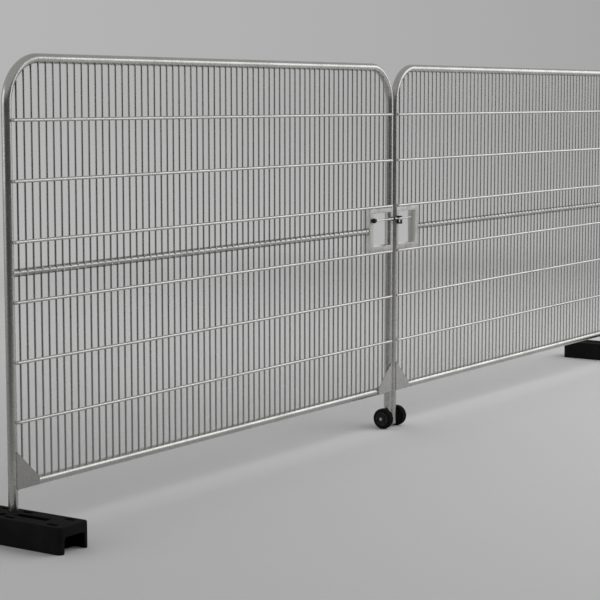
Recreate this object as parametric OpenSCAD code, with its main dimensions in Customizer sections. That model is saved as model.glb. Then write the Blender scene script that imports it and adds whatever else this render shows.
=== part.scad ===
// Double-leaf site gate made of two round-top mesh fence panels.
// Each leaf turns in a rubber block foot at its outer post, runs on a wheel
// at its free post, and a slide bolt ties the two leaves at the middle.
// Frame: X along the gate, -Y towards the front, Z up, origin on the ground
// in the middle of the gate.

/* [Frame] */
// Height of the gate above the ground
gate_h = 2000; // [1700:10:2400]
// Distance between the two post axes of one leaf
leaf_w = 3018; // [1800:1:3600]
// Gap between the two free posts at the middle of the gate
leaf_gap = 7; // [5:1:30]
// Outside diameter of the posts and of the top and bottom rails
tube_d = 42; // [36:1:50]
// Wall of the posts and rails
tube_wall = 2; // [1.5:0.5:4]
// Radius of the top corner bends at the middle of the tube
bend_r = 189; // [120:1:260]
// Height of the bottom rail's axis above the ground
bottom_rail_z = 218; // [190:1:300]
// Height of the open post ends above the ground
post_lift = 16; // [12:1:24]

/* [Mesh] */
// Diameter of a vertical wire
wire_d = 9; // [5:0.2:10]
// Number of vertical wires in one leaf
wire_count = 66; // [40:1:74]
// Distance from the free post's axis to the nearest vertical wire
wire_margin = 38; // [30:0.5:44]
// Distance from the outer post's axis to the nearest vertical wire
wire_end = 44.5; // [30:0.5:50]
// Distance from the middle of the frame forward to the vertical wires
wire_set = 13; // [10:0.5:13]
// Diameter of a horizontal wire
bar_d = 15; // [8:0.5:16]
// Number of horizontal wires
bar_count = 6; // [5:1:6]
// Height of the lowest horizontal wire
bar_z = 485; // [430:5:500]
// Spacing of the horizontal wires
bar_pitch = 248.5; // [230:0.5:255]
// Outside diameter of the middle rail
mid_rail_d = 34; // [30:1:36]
// Wall of the middle rail
mid_rail_wall = 2; // [1.5:0.5:3]
// Distance from the middle of the frame forward to the middle rail's axis
mid_rail_set = 4; // [2:0.5:4]
// Distance from halfway between two bars down to the middle rail's axis
mid_rail_drop = 3.5; // [0:0.5:10]

/* [Plates] */
// Width of a corner gusset along the bottom rail
gusset_w = 138; // [90:1:180]
// Height of a corner gusset at the post
gusset_h = 160; // [100:1:200]
// Height of a gusset's blunt tip
gusset_tip = 30; // [10:1:40]
// Distance from the bottom rail's axis down to a gusset's lower edge
gusset_drop = 12; // [5:1:18]
// Thickness of a gusset
gusset_t = 4; // [3:0.5:6]
// Width of a lock box from the post axis to the outside of its web
box_w = 236; // [225:1:245]
// Reach of a lock box past the post axis towards the other leaf
box_lap = 5; // [2:1:8]
// Thickness of the lock box sheet
box_t = 3; // [2:0.5:4]
// Distance from the post axis to the lock window in the front
window_in = 16; // [14:1:24]
// Distance from the post axis to the lock window in the back
back_window_in = 3; // [0:1:14]
// Width of the sheet left between the lock window and the web
window_web = 37; // [32:1:44]
// Width of the sheet left above the lock window
window_top = 25.5; // [20:0.5:40]
// Width of the sheet left below the lock window
window_bottom = 28; // [20:1:45]

/* [Slide bolt] */
// Diameter of the bolt rod
bolt_d = 10; // [8:0.5:11]
// Distance from the top of the lock box down to the rod's axis
bolt_drop = 62; // [50:0.5:120]
// Distance from the front of the lock box out to the rod's axis
bolt_out = 14.5; // [14:0.5:18]
// Reach of the closed rod past the axis of the other leaf's post
bolt_reach = 127; // [60:1:135]
// Diameter of the bolt's knob
knob_d = 27; // [18:1:28]
// Length of the bolt's knob
knob_l = 23; // [16:1:32]
// Width of the guide beside the post
post_guide_w = 8; // [6:1:12]
// Width of the guide beside the knob
knob_guide_w = 5; // [4:0.5:8]
// Height of both guides
guide_h = 18; // [16:1:24]
// Diameter of the stop pin across the rod
stop_pin_d = 4; // [3:0.5:5]
// Length of the stop pin
stop_pin_l = 16; // [14:1:22]
// Width of the keeper along the rod
keeper_w = 14; // [8:1:16]
// Thickness of the keeper's bars
keeper_bar = 7; // [5:0.5:9]
// Gap between the rod and the keeper's front bar
keeper_front = 2; // [1:0.5:6]
// Clear height inside the keeper below the rod's axis
keeper_well = 23; // [18:1:30]

/* [Wheels] */
// Diameter of a wheel
wheel_d = 112; // [96:1:140]
// Width of a wheel
wheel_w = 38; // [28:1:50]
// Diameter of the wheel centre inside the tyre
wheel_centre_d = 74; // [60:1:80]
// Depth of the dish in each face of the wheel centre
dish_depth = 8; // [4:1:10]
// Diameter of the hub in the middle of the dish
hub_d = 34; // [28:1:42]
// Outside diameter of the wheel bush
bush_d = 18; // [16:1:24]
// Diameter of the axle
axle_d = 10; // [8:1:12]
// Width of the spacer between post and wheel
spacer_w = 6; // [4:0.5:12]
// Thickness of the axle washer
washer_t = 2; // [1.5:0.5:4]
// Thickness of the axle nut
nut_h = 8; // [6:1:14]
// Width of the axle nut across its flats
nut_flats = 16; // [16:1:24]
// Length of the axle's end past the nut
axle_tail = 2; // [1:1:8]

/* [Feet] */
// Length of a foot across the gate
foot_l = 728; // [600:2:800]
// Width of a foot along the gate
foot_w = 180; // [170:1:220]
// Height of a foot
foot_h = 112; // [100:1:140]
// Radius of a foot's upright corners
foot_r = 22; // [10:1:30]
// Distance from the middle of a foot to each of its two post sockets
socket_shift = 35; // [30:1:45]
// Width of a hand hold in a foot's end
hold_w = 130; // [80:1:132]
// Height of a hand hold
hold_h = 70; // [50:1:80]
// Depth of a hand hold into the foot
hold_depth = 62; // [40:1:70]
// Length of a long pocket in a foot's top
pocket_l = 174; // [100:1:180]
// Width of a long pocket
pocket_w = 38; // [15:1:42]
// Depth of a long pocket
pocket_depth = 30; // [10:1:35]
// Distance from the middle of a foot to the start of a long pocket
pocket_start = 52; // [45:1:80]
// Length of a short slot in a foot's top
slot_l = 56; // [20:1:60]
// Width of a short slot
slot_w = 24; // [8:1:26]
// Depth of a short slot
slot_depth = 16; // [8:1:25]
// Distance from a foot's long side to a short slot
slot_edge = 36; // [16:1:40]
// Distance from a foot's end to the outer short slots
slot_end = 72; // [68:1:110]
// Distance from the middle of a foot to the inner short slots
slot_mid = 60; // [60:1:90]

/* [Hidden] */
$fn = 64;
LEFT = -1;
RIGHT = 1;
STEEL = [0.72, 0.74, 0.75];
BRIGHT = [0.82, 0.83, 0.84];
BLACK = [0.07, 0.07, 0.08];
RUBBER = [0.10, 0.10, 0.11];

// Gap left at a welded touch, clearance of a fixed pin, running clearance,
// slack of the rod in the keeper's mouth, gap behind the rod in the keeper,
// and overshoot of a cut.
weld = 0.1;
pin_fit = 0.1;
run_fit = 0.3;
mouth_slack = 1.2;
seat_gap = 0.5;
over = 1;

tube_r = tube_d / 2;
post_in = leaf_gap / 2 + tube_r;
top_rail_z = gate_h - tube_r;
bend_z = top_rail_z - bend_r;

wire_r = wire_d / 2;
wire_pitch = (leaf_w - wire_margin - wire_end) / (wire_count - 1);
wire_seat = sqrt(tube_r * tube_r - pow(wire_set - wire_r, 2)) + weld;
wire_foot_z = bottom_rail_z + wire_seat;
bar_r = bar_d / 2;
bar_set = wire_set + wire_r + bar_r + weld;
bar_end = sqrt(tube_r * tube_r - pow(bar_set - bar_r, 2)) + weld;
mid_rail_r = mid_rail_d / 2;
mid_seat = sqrt(mid_rail_r * mid_rail_r - pow(max(0, wire_set - wire_r - mid_rail_set), 2)) + weld;

// The lock boxes and the middle rail lie between the third and fourth bars.
lock_bar = 2;
box_z0 = bar_z + lock_bar * bar_pitch + bar_r + run_fit;
box_z1 = bar_z + (lock_bar + 1) * bar_pitch - bar_r - run_fit;
box_h = box_z1 - box_z0;
mid_rail_z = bar_z + (lock_bar + 0.5) * bar_pitch - mid_rail_drop;
plate_y = tube_r + weld;
box_front = plate_y + box_t;
window_out = box_w - window_web;
window_h = box_h - window_bottom - window_top;

bolt_r = bolt_d / 2;
bolt_y = -(box_front + bolt_out);
bolt_z = box_z1 - bolt_drop;
post_guide_u = window_in - run_fit - post_guide_w / 2;
knob_guide_u = window_out + run_fit + knob_guide_w / 2;
knob_gap = 1;
knob_u = knob_guide_u + knob_guide_w / 2 + knob_gap;
knob_round = 5;
knob_wall = 6;
rod_tail_u = knob_u + knob_l - knob_wall;
rod_nose = 4;
stop_pin_u = post_guide_u + post_guide_w / 2 + run_fit + stop_pin_d / 2;
guide_depth = bolt_out + guide_h / 2;
keeper_u = keeper_w / 2 - box_lap;
keeper_low = keeper_well + keeper_bar;
keeper_high = bolt_r + mouth_slack + keeper_bar;
keeper_back = bolt_out - bolt_r - seat_gap;
keeper_depth = bolt_out + bolt_r + keeper_front + keeper_bar;

axle_r = axle_d / 2;
axle_z = wheel_d / 2;
axle_start = -(tube_r - weld);
spacer_u = tube_r + weld;
wheel_u = spacer_u + spacer_w + run_fit;
washer_u = wheel_u + wheel_w + run_fit;
nut_u = washer_u + washer_t;
axle_end = nut_u + nut_h + axle_tail;
spacer_r = axle_r + 6;
washer_r = axle_r + 5;
tyre_round = 9;
bush_r = bush_d / 2;

socket_fit = 0.75;
socket_floor = post_lift - run_fit;
hold_round = 16;

// Height of a vertical wire's top end where it meets the rail or the bend.
function wire_top(u) =
    let (near = min(u, leaf_w - u) - wire_r, inner_r = bend_r - wire_seat)
    near >= bend_r
        ? top_rail_z - wire_seat
        : bend_z + sqrt(max(0, inner_r * inner_r - pow(bend_r - near, 2)));

// Distance of vertical wire i from the free post's axis.
function wire_u(i) = wire_margin + i * wire_pitch;

// True where the lock box interrupts a vertical wire.
function in_box(u) = u - wire_r < box_w;

// Places a leaf's parts, drawn from the free post's axis outwards along +X.
module leaf(side) {
    mirror([side == LEFT ? 1 : 0, 0, 0])
        translate([post_in, 0, 0])
            children();
}

// Bar of radius r along both posts, both bends and the top rail.
module frame_path(r, bottom_z) {
    for (u = [0, leaf_w])
        translate([u, 0, bottom_z])
            cylinder(h = bend_z - bottom_z, r = r);
    translate([bend_r, 0, top_rail_z])
        rotate([0, 90, 0])
            cylinder(h = leaf_w - 2 * bend_r, r = r);
    translate([bend_r, 0, bend_z])
        rotate([90, 0, 0])
            rotate([0, 0, 90])
                rotate_extrude(angle = 90)
                    translate([bend_r, 0])
                        circle(r = r);
    translate([leaf_w - bend_r, 0, bend_z])
        rotate([90, 0, 0])
            rotate_extrude(angle = 90)
                translate([bend_r, 0])
                    circle(r = r);
}

// Round wire or pin along +X from u.
module rod_x(u, length, r) {
    translate([u, 0, 0])
        rotate([0, 90, 0])
            cylinder(h = length, r = r);
}

// Ring along +X from u.
module ring_x(u, length, outer_r, inner_r) {
    difference() {
        rod_x(u, length, outer_r);
        rod_x(u - over, length + 2 * over, inner_r);
    }
}

// Upright post shape at u, used to cope a rail's end.
module post_cut(u, z, height) {
    translate([u, 0, z - height / 2])
        cylinder(h = height, r = tube_r + weld);
}

module frame_tube() {
    color(STEEL)
        difference() {
            frame_path(tube_r, post_lift);
            frame_path(tube_r - tube_wall, post_lift - over);
            translate([0, 0, axle_z])
                rod_x(-tube_d, 2 * tube_d, axle_r + pin_fit);
        }
}

module bottom_rail() {
    color(STEEL)
        difference() {
            translate([0, 0, bottom_rail_z])
                ring_x(0, leaf_w, tube_r, tube_r - tube_wall);
            post_cut(0, bottom_rail_z, 2 * tube_d);
            post_cut(leaf_w, bottom_rail_z, 2 * tube_d);
        }
}

module middle_rail() {
    color(STEEL)
        difference() {
            translate([0, -mid_rail_set, mid_rail_z])
                ring_x(box_w + weld, leaf_w - box_w - weld, mid_rail_r, mid_rail_r - mid_rail_wall);
            post_cut(leaf_w, mid_rail_z, 2 * mid_rail_d);
        }
}

// Vertical wire at u in two lengths, up to low_z and on from high_z.
module split_wire(u, low_z, high_z) {
    translate([u, -wire_set, 0]) {
        translate([0, 0, wire_foot_z])
            cylinder(h = low_z - wire_foot_z, r = wire_r);
        translate([0, 0, high_z])
            cylinder(h = wire_top(u) - high_z, r = wire_r);
    }
}

// Vertical wires that stop below and above the middle rail.
module vertical_wires() {
    color(STEEL)
        for (i = [0 : wire_count - 1])
            if (!in_box(wire_u(i)))
                split_wire(wire_u(i), mid_rail_z - mid_seat, mid_rail_z + mid_seat);
}

// Vertical wires that stop below and above the lock box.
module lock_wires() {
    color(STEEL)
        for (i = [0 : wire_count - 1])
            if (in_box(wire_u(i)))
                split_wire(wire_u(i), box_z0 - weld, box_z1 + weld);
}

module horizontal_wires() {
    color(BRIGHT)
        for (i = [0 : bar_count - 1])
            translate([0, -bar_set, bar_z + i * bar_pitch])
                rod_x(bar_end, leaf_w - 2 * bar_end, bar_r);
}

// Corner plate from the post axis inwards along the bottom rail.
module gusset() {
    low = bottom_rail_z - gusset_drop;
    color(STEEL)
        translate([0, -plate_y, 0])
            rotate([90, 0, 0])
                linear_extrude(gusset_t)
                    polygon([
                        [0, low],
                        [gusset_w, low],
                        [gusset_w, low + gusset_tip],
                        [0, low + gusset_h]
                    ]);
}

module outer_gusset() {
    translate([leaf_w, 0, 0])
        mirror([1, 0, 0])
            gusset();
}

// Folded sheet with a front flange, a back flange and a web, open at the post.
module lock_box() {
    color(STEEL)
        difference() {
            translate([-box_lap, -box_front, box_z0])
                cube([box_lap + box_w, 2 * box_front, box_h]);
            translate([-box_lap - over, -plate_y, box_z0 - over])
                cube([box_lap + box_w - box_t + over, 2 * plate_y, box_h + 2 * over]);
            translate([window_in, -box_front - over, box_z0 + window_bottom])
                cube([window_out - window_in, box_front + over, window_h]);
            translate([back_window_in, -over, box_z0 + window_bottom])
                cube([window_out - back_window_in, box_front + 2 * over, window_h]);
        }
}

module axle() {
    color(BRIGHT)
        translate([0, 0, axle_z])
            rod_x(axle_start, axle_end - axle_start, axle_r);
}

module axle_spacer() {
    color(BRIGHT)
        translate([0, 0, axle_z])
            ring_x(spacer_u, spacer_w, spacer_r, axle_r + pin_fit);
}

module axle_washer() {
    color(BLACK)
        translate([0, 0, axle_z])
            ring_x(washer_u, washer_t, washer_r, axle_r + pin_fit);
}

module axle_nut() {
    color(BRIGHT)
        translate([0, 0, axle_z])
            difference() {
                translate([nut_u, 0, 0])
                    rotate([0, 90, 0])
                        cylinder(h = nut_h, d = nut_flats / cos(30), $fn = 6);
                rod_x(nut_u - over, nut_h + 2 * over, axle_r + pin_fit);
            }
}

// Turns a profile of radius and width about the wheel's axis.
module wheel_turn() {
    translate([wheel_u, 0, axle_z])
        rotate([0, 90, 0])
            rotate_extrude()
                children();
}

// Solid tyre with rounded shoulders.
module tyre() {
    inner = wheel_centre_d / 2 + pin_fit;
    color(RUBBER)
        wheel_turn() {
            translate([inner, 0])
                square([wheel_d / 2 - tyre_round - inner, wheel_w]);
            translate([inner, tyre_round])
                square([wheel_d / 2 - inner, wheel_w - 2 * tyre_round]);
            for (y = [tyre_round, wheel_w - tyre_round])
                translate([wheel_d / 2 - tyre_round, y])
                    circle(r = tyre_round);
        }
}

// Wheel centre with a dished face on both sides of its web.
module wheel_centre() {
    rim = 5;
    color(BLACK)
        wheel_turn()
            difference() {
                translate([bush_r + pin_fit, 0])
                    square([wheel_centre_d / 2 - bush_r - pin_fit, wheel_w]);
                for (y = [-over, wheel_w - dish_depth])
                    translate([hub_d / 2, y])
                        square([wheel_centre_d / 2 - rim - hub_d / 2, dish_depth + over]);
            }
}

module wheel_bush() {
    color(BRIGHT)
        translate([0, 0, axle_z])
            ring_x(wheel_u, wheel_w, bush_r, axle_r + run_fit);
}

// Rectangle with round corners about the origin.
module round_rect(width, length, r) {
    square([width - 2 * r, length], center = true);
    square([width, length - 2 * r], center = true);
    for (x = [-1, 1], y = [-1, 1])
        translate([x * (width / 2 - r), y * (length / 2 - r)])
            circle(r = r);
}

// Hand hold cut into one end of a foot, open to the end and to the ground.
module hand_hold() {
    translate([0, foot_l / 2 + over, 0])
        rotate([90, 0, 0])
            linear_extrude(hold_depth + over) {
                translate([-hold_w / 2, -over])
                    square([hold_w, hold_h - hold_round + over]);
                translate([-hold_w / 2 + hold_round, -over])
                    square([hold_w - 2 * hold_round, hold_h + over]);
                for (x = [-1, 1])
                    translate([x * (hold_w / 2 - hold_round), hold_h - hold_round])
                        circle(r = hold_round);
            }
}

// Rectangular recess in a foot's top, centred at x and y.
module top_recess(x, y, width, length, depth) {
    translate([x - width / 2, y - length / 2, foot_h - depth])
        cube([width, length, depth + over]);
}

// Rubber block with two post sockets, the inner one under the leaf's outer post.
module foot() {
    side_x = foot_w / 2 - slot_edge;
    end_y = foot_l / 2 - slot_end;
    color(RUBBER)
        translate([leaf_w + socket_shift, 0, 0])
            difference() {
                linear_extrude(foot_h)
                    round_rect(foot_w, foot_l, foot_r);
                for (x = [-1, 1])
                    translate([x * socket_shift, 0, socket_floor])
                        cylinder(h = foot_h, r = tube_r + socket_fit);
                for (end = [0, 180])
                    rotate([0, 0, end])
                        hand_hold();
                for (y = [-1, 1])
                    top_recess(0, y * (pocket_start + pocket_l / 2), pocket_w, pocket_l, pocket_depth);
                for (x = [-1, 1], y = [-end_y, -slot_mid, slot_mid, end_y])
                    top_recess(x * side_x, y, slot_w, slot_l, slot_depth);
            }
}

// Places the bolt's parts on its axis, drawn outwards from the left free post.
module bolt_line() {
    translate([0, bolt_y, bolt_z])
        leaf(LEFT)
            children();
}

module bolt_rod() {
    tip_u = -(2 * post_in + bolt_reach);
    color(BRIGHT)
        bolt_line()
            difference() {
                union() {
                    rod_x(tip_u + rod_nose, rod_tail_u - tip_u - rod_nose, bolt_r);
                    translate([tip_u, 0, 0])
                        rotate([0, 90, 0])
                            cylinder(h = rod_nose, r1 = bolt_r / 2, r2 = bolt_r);
                }
                translate([stop_pin_u, 0, -bolt_d])
                    cylinder(h = 2 * bolt_d, r = stop_pin_d / 2 + pin_fit);
            }
}

module bolt_knob() {
    knob_r = knob_d / 2;
    color(BLACK)
        bolt_line()
            translate([knob_u, 0, 0])
                rotate([0, 90, 0])
                    rotate_extrude()
                        difference() {
                            union() {
                                square([knob_r - knob_round, knob_l]);
                                translate([0, knob_round])
                                    square([knob_r, knob_l - 2 * knob_round]);
                                for (y = [knob_round, knob_l - knob_round])
                                    translate([knob_r - knob_round, y])
                                        circle(r = knob_round);
                            }
                            translate([0, -over])
                                square([bolt_r + pin_fit, knob_l - knob_wall + pin_fit + over]);
                        }
}

module bolt_stop_pin() {
    color(BRIGHT)
        bolt_line()
            translate([stop_pin_u, 0, -stop_pin_l / 2])
                cylinder(h = stop_pin_l, r = stop_pin_d / 2);
}

// Guide block that stands on the lock box's front and holds the rod.
module guide(u, width) {
    color(BLACK)
        bolt_line()
            difference() {
                union() {
                    rod_x(u - width / 2, width, guide_h / 2);
                    translate([u - width / 2, 0, -guide_h / 2])
                        cube([width, bolt_out, guide_h]);
                }
                rod_x(u - width / 2 - over, width + 2 * over, bolt_r + run_fit);
            }
}

module post_guide() {
    guide(post_guide_u, post_guide_w);
}

module knob_guide() {
    guide(knob_guide_u, knob_guide_w);
}

// Hook on the other leaf: the rod leaves through the mouth in its front.
module keeper() {
    color(BLACK)
        translate([post_in + keeper_u - keeper_w / 2, -box_front, bolt_z])
            rotate([90, 0, 90])
                linear_extrude(keeper_w)
                    difference() {
                        translate([-keeper_depth, -keeper_low])
                            square([keeper_depth, keeper_low + keeper_high]);
                        translate([keeper_bar - keeper_depth, -keeper_well])
                            square([keeper_depth - keeper_bar - keeper_back,
                                    keeper_well + bolt_r + mouth_slack]);
                        translate([-keeper_depth - over, -bolt_r - mouth_slack])
                            square([keeper_bar + 2 * over, 2 * (bolt_r + mouth_slack)]);
                    }
}

leaf(LEFT) foot();  // left_foot
leaf(RIGHT) foot();  // right_foot
leaf(LEFT) frame_tube();  // left_frame_tube
leaf(LEFT) bottom_rail();  // left_bottom_rail
leaf(LEFT) middle_rail();  // left_middle_rail
leaf(LEFT) vertical_wires();  // left_vertical_wires
leaf(LEFT) lock_wires();  // left_lock_wires
leaf(LEFT) horizontal_wires();  // left_horizontal_wires
leaf(LEFT) outer_gusset();  // left_outer_gusset
leaf(LEFT) gusset();  // left_inner_gusset
leaf(LEFT) lock_box();  // left_lock_box
leaf(LEFT) axle();  // left_axle
leaf(LEFT) axle_spacer();  // left_axle_spacer
leaf(LEFT) axle_washer();  // left_axle_washer
leaf(LEFT) axle_nut();  // left_axle_nut
leaf(LEFT) tyre();  // left_tyre
leaf(LEFT) wheel_centre();  // left_wheel_centre
leaf(LEFT) wheel_bush();  // left_wheel_bush
leaf(RIGHT) frame_tube();  // right_frame_tube
leaf(RIGHT) bottom_rail();  // right_bottom_rail
leaf(RIGHT) middle_rail();  // right_middle_rail
leaf(RIGHT) vertical_wires();  // right_vertical_wires
leaf(RIGHT) lock_wires();  // right_lock_wires
leaf(RIGHT) horizontal_wires();  // right_horizontal_wires
leaf(RIGHT) outer_gusset();  // right_outer_gusset
leaf(RIGHT) gusset();  // right_inner_gusset
leaf(RIGHT) lock_box();  // right_lock_box
leaf(RIGHT) axle();  // right_axle
leaf(RIGHT) axle_spacer();  // right_axle_spacer
leaf(RIGHT) axle_washer();  // right_axle_washer
leaf(RIGHT) axle_nut();  // right_axle_nut
leaf(RIGHT) tyre();  // right_tyre
leaf(RIGHT) wheel_centre();  // right_wheel_centre
leaf(RIGHT) wheel_bush();  // right_wheel_bush
bolt_rod();
bolt_knob();
bolt_stop_pin();
post_guide();
knob_guide();
keeper();
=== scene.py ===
"""Looks of a double-leaf mesh site gate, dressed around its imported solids.

Sizes are metres in the gate's own frame: X along the gate, -Y to the front,
Z up, origin on the ground in the middle.  A leaf is drawn from the axis of its
free post outwards along +u and is then set on its own side of the gate.
"""

from __future__ import annotations

import logging
import math
from dataclasses import dataclass, field
from enum import Enum
from typing import Any, Iterable, Sequence, Union

import bmesh
import bpy
import numpy as np
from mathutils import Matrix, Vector


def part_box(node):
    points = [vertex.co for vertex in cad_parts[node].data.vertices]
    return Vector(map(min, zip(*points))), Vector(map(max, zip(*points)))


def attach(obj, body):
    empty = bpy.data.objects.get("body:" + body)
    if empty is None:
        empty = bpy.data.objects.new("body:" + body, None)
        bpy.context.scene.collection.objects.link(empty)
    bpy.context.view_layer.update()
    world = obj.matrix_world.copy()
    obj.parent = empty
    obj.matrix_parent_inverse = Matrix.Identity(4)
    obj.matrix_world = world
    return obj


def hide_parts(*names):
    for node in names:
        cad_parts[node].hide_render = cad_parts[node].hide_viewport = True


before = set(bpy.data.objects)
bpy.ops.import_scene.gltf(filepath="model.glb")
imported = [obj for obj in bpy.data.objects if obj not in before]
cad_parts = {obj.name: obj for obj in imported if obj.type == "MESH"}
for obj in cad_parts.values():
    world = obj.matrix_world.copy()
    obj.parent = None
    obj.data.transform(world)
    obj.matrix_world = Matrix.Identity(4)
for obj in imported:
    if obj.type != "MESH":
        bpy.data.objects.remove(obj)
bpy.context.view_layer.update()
LOG = logging.getLogger("gate")
RNG = np.random.default_rng(7)
TURN = 2.0 * math.pi
ALONG, ACROSS, UP = (1.0, 0.0, 0.0), (0.0, 1.0, 0.0), (0.0, 0.0, 1.0)
# Points round a weld bead, and the length below which two points are one
WELD_SIDES, TINY = 8, 1e-6

Number = Union[float, "Value"]
Colour = tuple[float, float, float]
Span = tuple[np.ndarray, np.ndarray]


class Side(Enum):
    """The leaf's side of the gate, as the sign of its X."""

    LEFT = -1
    RIGHT = 1

    def node(self, name: str) -> str:
        """The name of this side's copy of a part."""
        return f"{self.name.lower()}_{name}"


class Axis(Enum):
    """A direction that round bars run along, as its index."""

    X = 0
    Z = 2


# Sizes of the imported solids


def box_of(name: str) -> Span:
    """The low and the high corner of a node's box."""
    low, high = (np.array(corner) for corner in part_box(name))
    return low, high


def half(span: Span, axis: int) -> float:
    """Half of a box's size along an axis."""
    return (span[1][axis] - span[0][axis]) / 2


def middle(span: Span, axis: int) -> float:
    """The middle of a box along an axis."""
    return (span[1][axis] + span[0][axis]) / 2


# Surfaces


@dataclass
class Patch:
    """Points and faces of a surface that isn't a mesh yet.

    Attributes:
        points: Corner points, one row each.
        quads: Four point indices per face.
        caps: Faces with any other number of corners.
    """

    points: np.ndarray
    quads: np.ndarray
    caps: list[list[int]] = field(default_factory=list)

    def moved(self, offset: Sequence[float]) -> "Patch":
        """The same surface shifted by offset."""
        return Patch(self.points + np.asarray(offset, float), self.quads, self.caps)

    def on_side(self, side: Side, post_in: float) -> "Patch":
        """Sets a leaf's surface, drawn along u, on its side of the gate.

        Args:
            side: The leaf's side.
            post_in: Distance from the middle of the gate to the free post.

        Returns:
            The surface in the gate's frame.
        """
        points = self.points.copy()
        points[:, 0] = side.value * (points[:, 0] + post_in)
        return Patch(points, self.quads, self.caps)

    def mirrored(self, about: float) -> "Patch":
        """The surface reflected along u about u = about / 2.

        Args:
            about: Twice the place of the mirror along u.

        Returns:
            The reflected surface.
        """
        points = self.points.copy()
        points[:, 0] = about - points[:, 0]
        return Patch(points, self.quads, self.caps)


def joined(patches: Iterable[Patch]) -> Patch:
    """One surface made of several.

    Args:
        patches: The surfaces to put together.

    Returns:
        Their points and faces in one patch.
    """
    parts = list(patches)
    starts = np.cumsum([0] + [len(p.points) for p in parts[:-1]])
    quads = [p.quads + s for p, s in zip(parts, starts) if len(p.quads)]
    caps = [[i + int(s) for i in cap] for p, s in zip(parts, starts) for cap in p.caps]
    flat = np.concatenate(quads) if quads else np.zeros((0, 4), int)
    return Patch(np.concatenate([p.points for p in parts]), flat, caps)


def grid(points: np.ndarray, wrap_u: bool = False, wrap_v: bool = False) -> Patch:
    """Joins a grid of points by quads.

    Args:
        points: Array of shape (n, m, 3).
        wrap_u: Joins the last row to the first.
        wrap_v: Joins the last column to the first.

    Returns:
        The surface.
    """
    rows, columns = points.shape[:2]
    index = np.arange(rows * columns).reshape(rows, columns)
    if wrap_u:
        index = np.concatenate([index, index[:1]])
    if wrap_v:
        index = np.concatenate([index, index[:, :1]], axis=1)
    corners = (index[:-1, :-1], index[1:, :-1], index[1:, 1:], index[:-1, 1:])
    return Patch(points.reshape(-1, 3), np.stack(corners, -1).reshape(-1, 4))


def unit(vectors: np.ndarray) -> np.ndarray:
    """Vectors scaled to a length of one."""
    return vectors / np.linalg.norm(vectors, axis=-1, keepdims=True)


def circle(steps: int) -> np.ndarray:
    """Angles of points spaced evenly round a full turn."""
    return np.linspace(0.0, TURN, steps, endpoint=False)


def spots(x: np.ndarray | float, y: np.ndarray | float, z: np.ndarray | float) -> np.ndarray:
    """Points from their coordinates, each an array or one number shared by all."""
    return np.stack(np.broadcast_arrays(x, y, z), -1).astype(float)


def end_caps(count: int, ring: int) -> list[list[int]]:
    """Flat faces on the first and the last ring of a surface of count points."""
    return [list(range(ring)), list(range(count - ring, count))]


def rippled(radius: float, depth: float, phase: np.ndarray) -> np.ndarray:
    """Radius of a weld bead along its path: radius * (1 + depth * sin(phase))."""
    return radius * (1.0 + depth * np.sin(phase))


def tube(path: np.ndarray, radius: np.ndarray | float, across: Sequence[float], sides: int,
         closed: bool = False) -> Patch:
    """A round bar along a path.

    Each ring is path + radius * (cos a * n + sin a * b), where n is square to
    the path and to the direction across, and b to the path and n.

    Args:
        path: Points of the middle line, shape (n, 3).
        radius: One radius, or one for each point.
        across: A direction that the path never follows.
        sides: Points round a ring.
        closed: The path returns to its start.

    Returns:
        The bar, with flat ends unless it is closed.
    """
    if closed:
        along = unit(np.roll(path, -1, 0) - np.roll(path, 1, 0))
    else:
        along = unit(np.gradient(path, axis=0))
    n = unit(np.cross(along, np.asarray(across, float)))
    b = np.cross(along, n)
    angle = circle(sides)[None, :, None]
    r = np.broadcast_to(np.asarray(radius, float), (len(path),))[:, None, None]
    rings = path[:, None, :] + r * (np.cos(angle) * n[:, None, :] + np.sin(angle) * b[:, None, :])
    surface = grid(rings, wrap_u=closed, wrap_v=True)
    if not closed:
        surface.caps = end_caps(len(path) * sides, sides)
    return surface


def seam(start: Sequence[float], end: Sequence[float], trim: float, steps: int, waves: float) -> Patch:
    """A straight rippled weld bead.

    A point is start + (end - start) * t, with t from trim to 1 - trim.

    Args:
        start: One end of the seam.
        end: Its other end.
        trim: Share of the seam that is left free at both ends.
        steps: Points along the bead.
        waves: Phase of the ripple at t = 1.

    Returns:
        The bead.
    """
    radius, depth = 0.0026, 0.16
    t = np.linspace(trim, 1.0 - trim, steps)
    first, last = np.asarray(start, float), np.asarray(end, float)
    path = first + (last - first) * t[:, None]
    return tube(path, rippled(radius, depth, waves * t), ACROSS, WELD_SIDES)


def pipe(path: np.ndarray, outer: float, inner: float, across: Sequence[float], sides: int) -> Patch:
    """A hollow tube along a path: the outer bar, the bore and a ring at both ends.

    Args:
        path: Points along its middle.
        outer: Its outer radius.
        inner: Its bore's radius.
        across: A direction that the path never takes.
        sides: Points round it.

    Returns:
        The hollow tube.
    """
    skins = [tube(path, r, across, sides) for r in (outer, inner)]
    count = len(skins[0].points)
    body = joined(skins)
    body.caps = []
    ring = np.arange(sides)
    turn = np.roll(ring, -1)
    starts = [np.stack((ring, turn, turn + count, ring + count), -1)]
    shift = count - sides
    starts.append(starts[0] + shift)
    body.quads = np.concatenate([body.quads, *starts])
    return body


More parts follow.
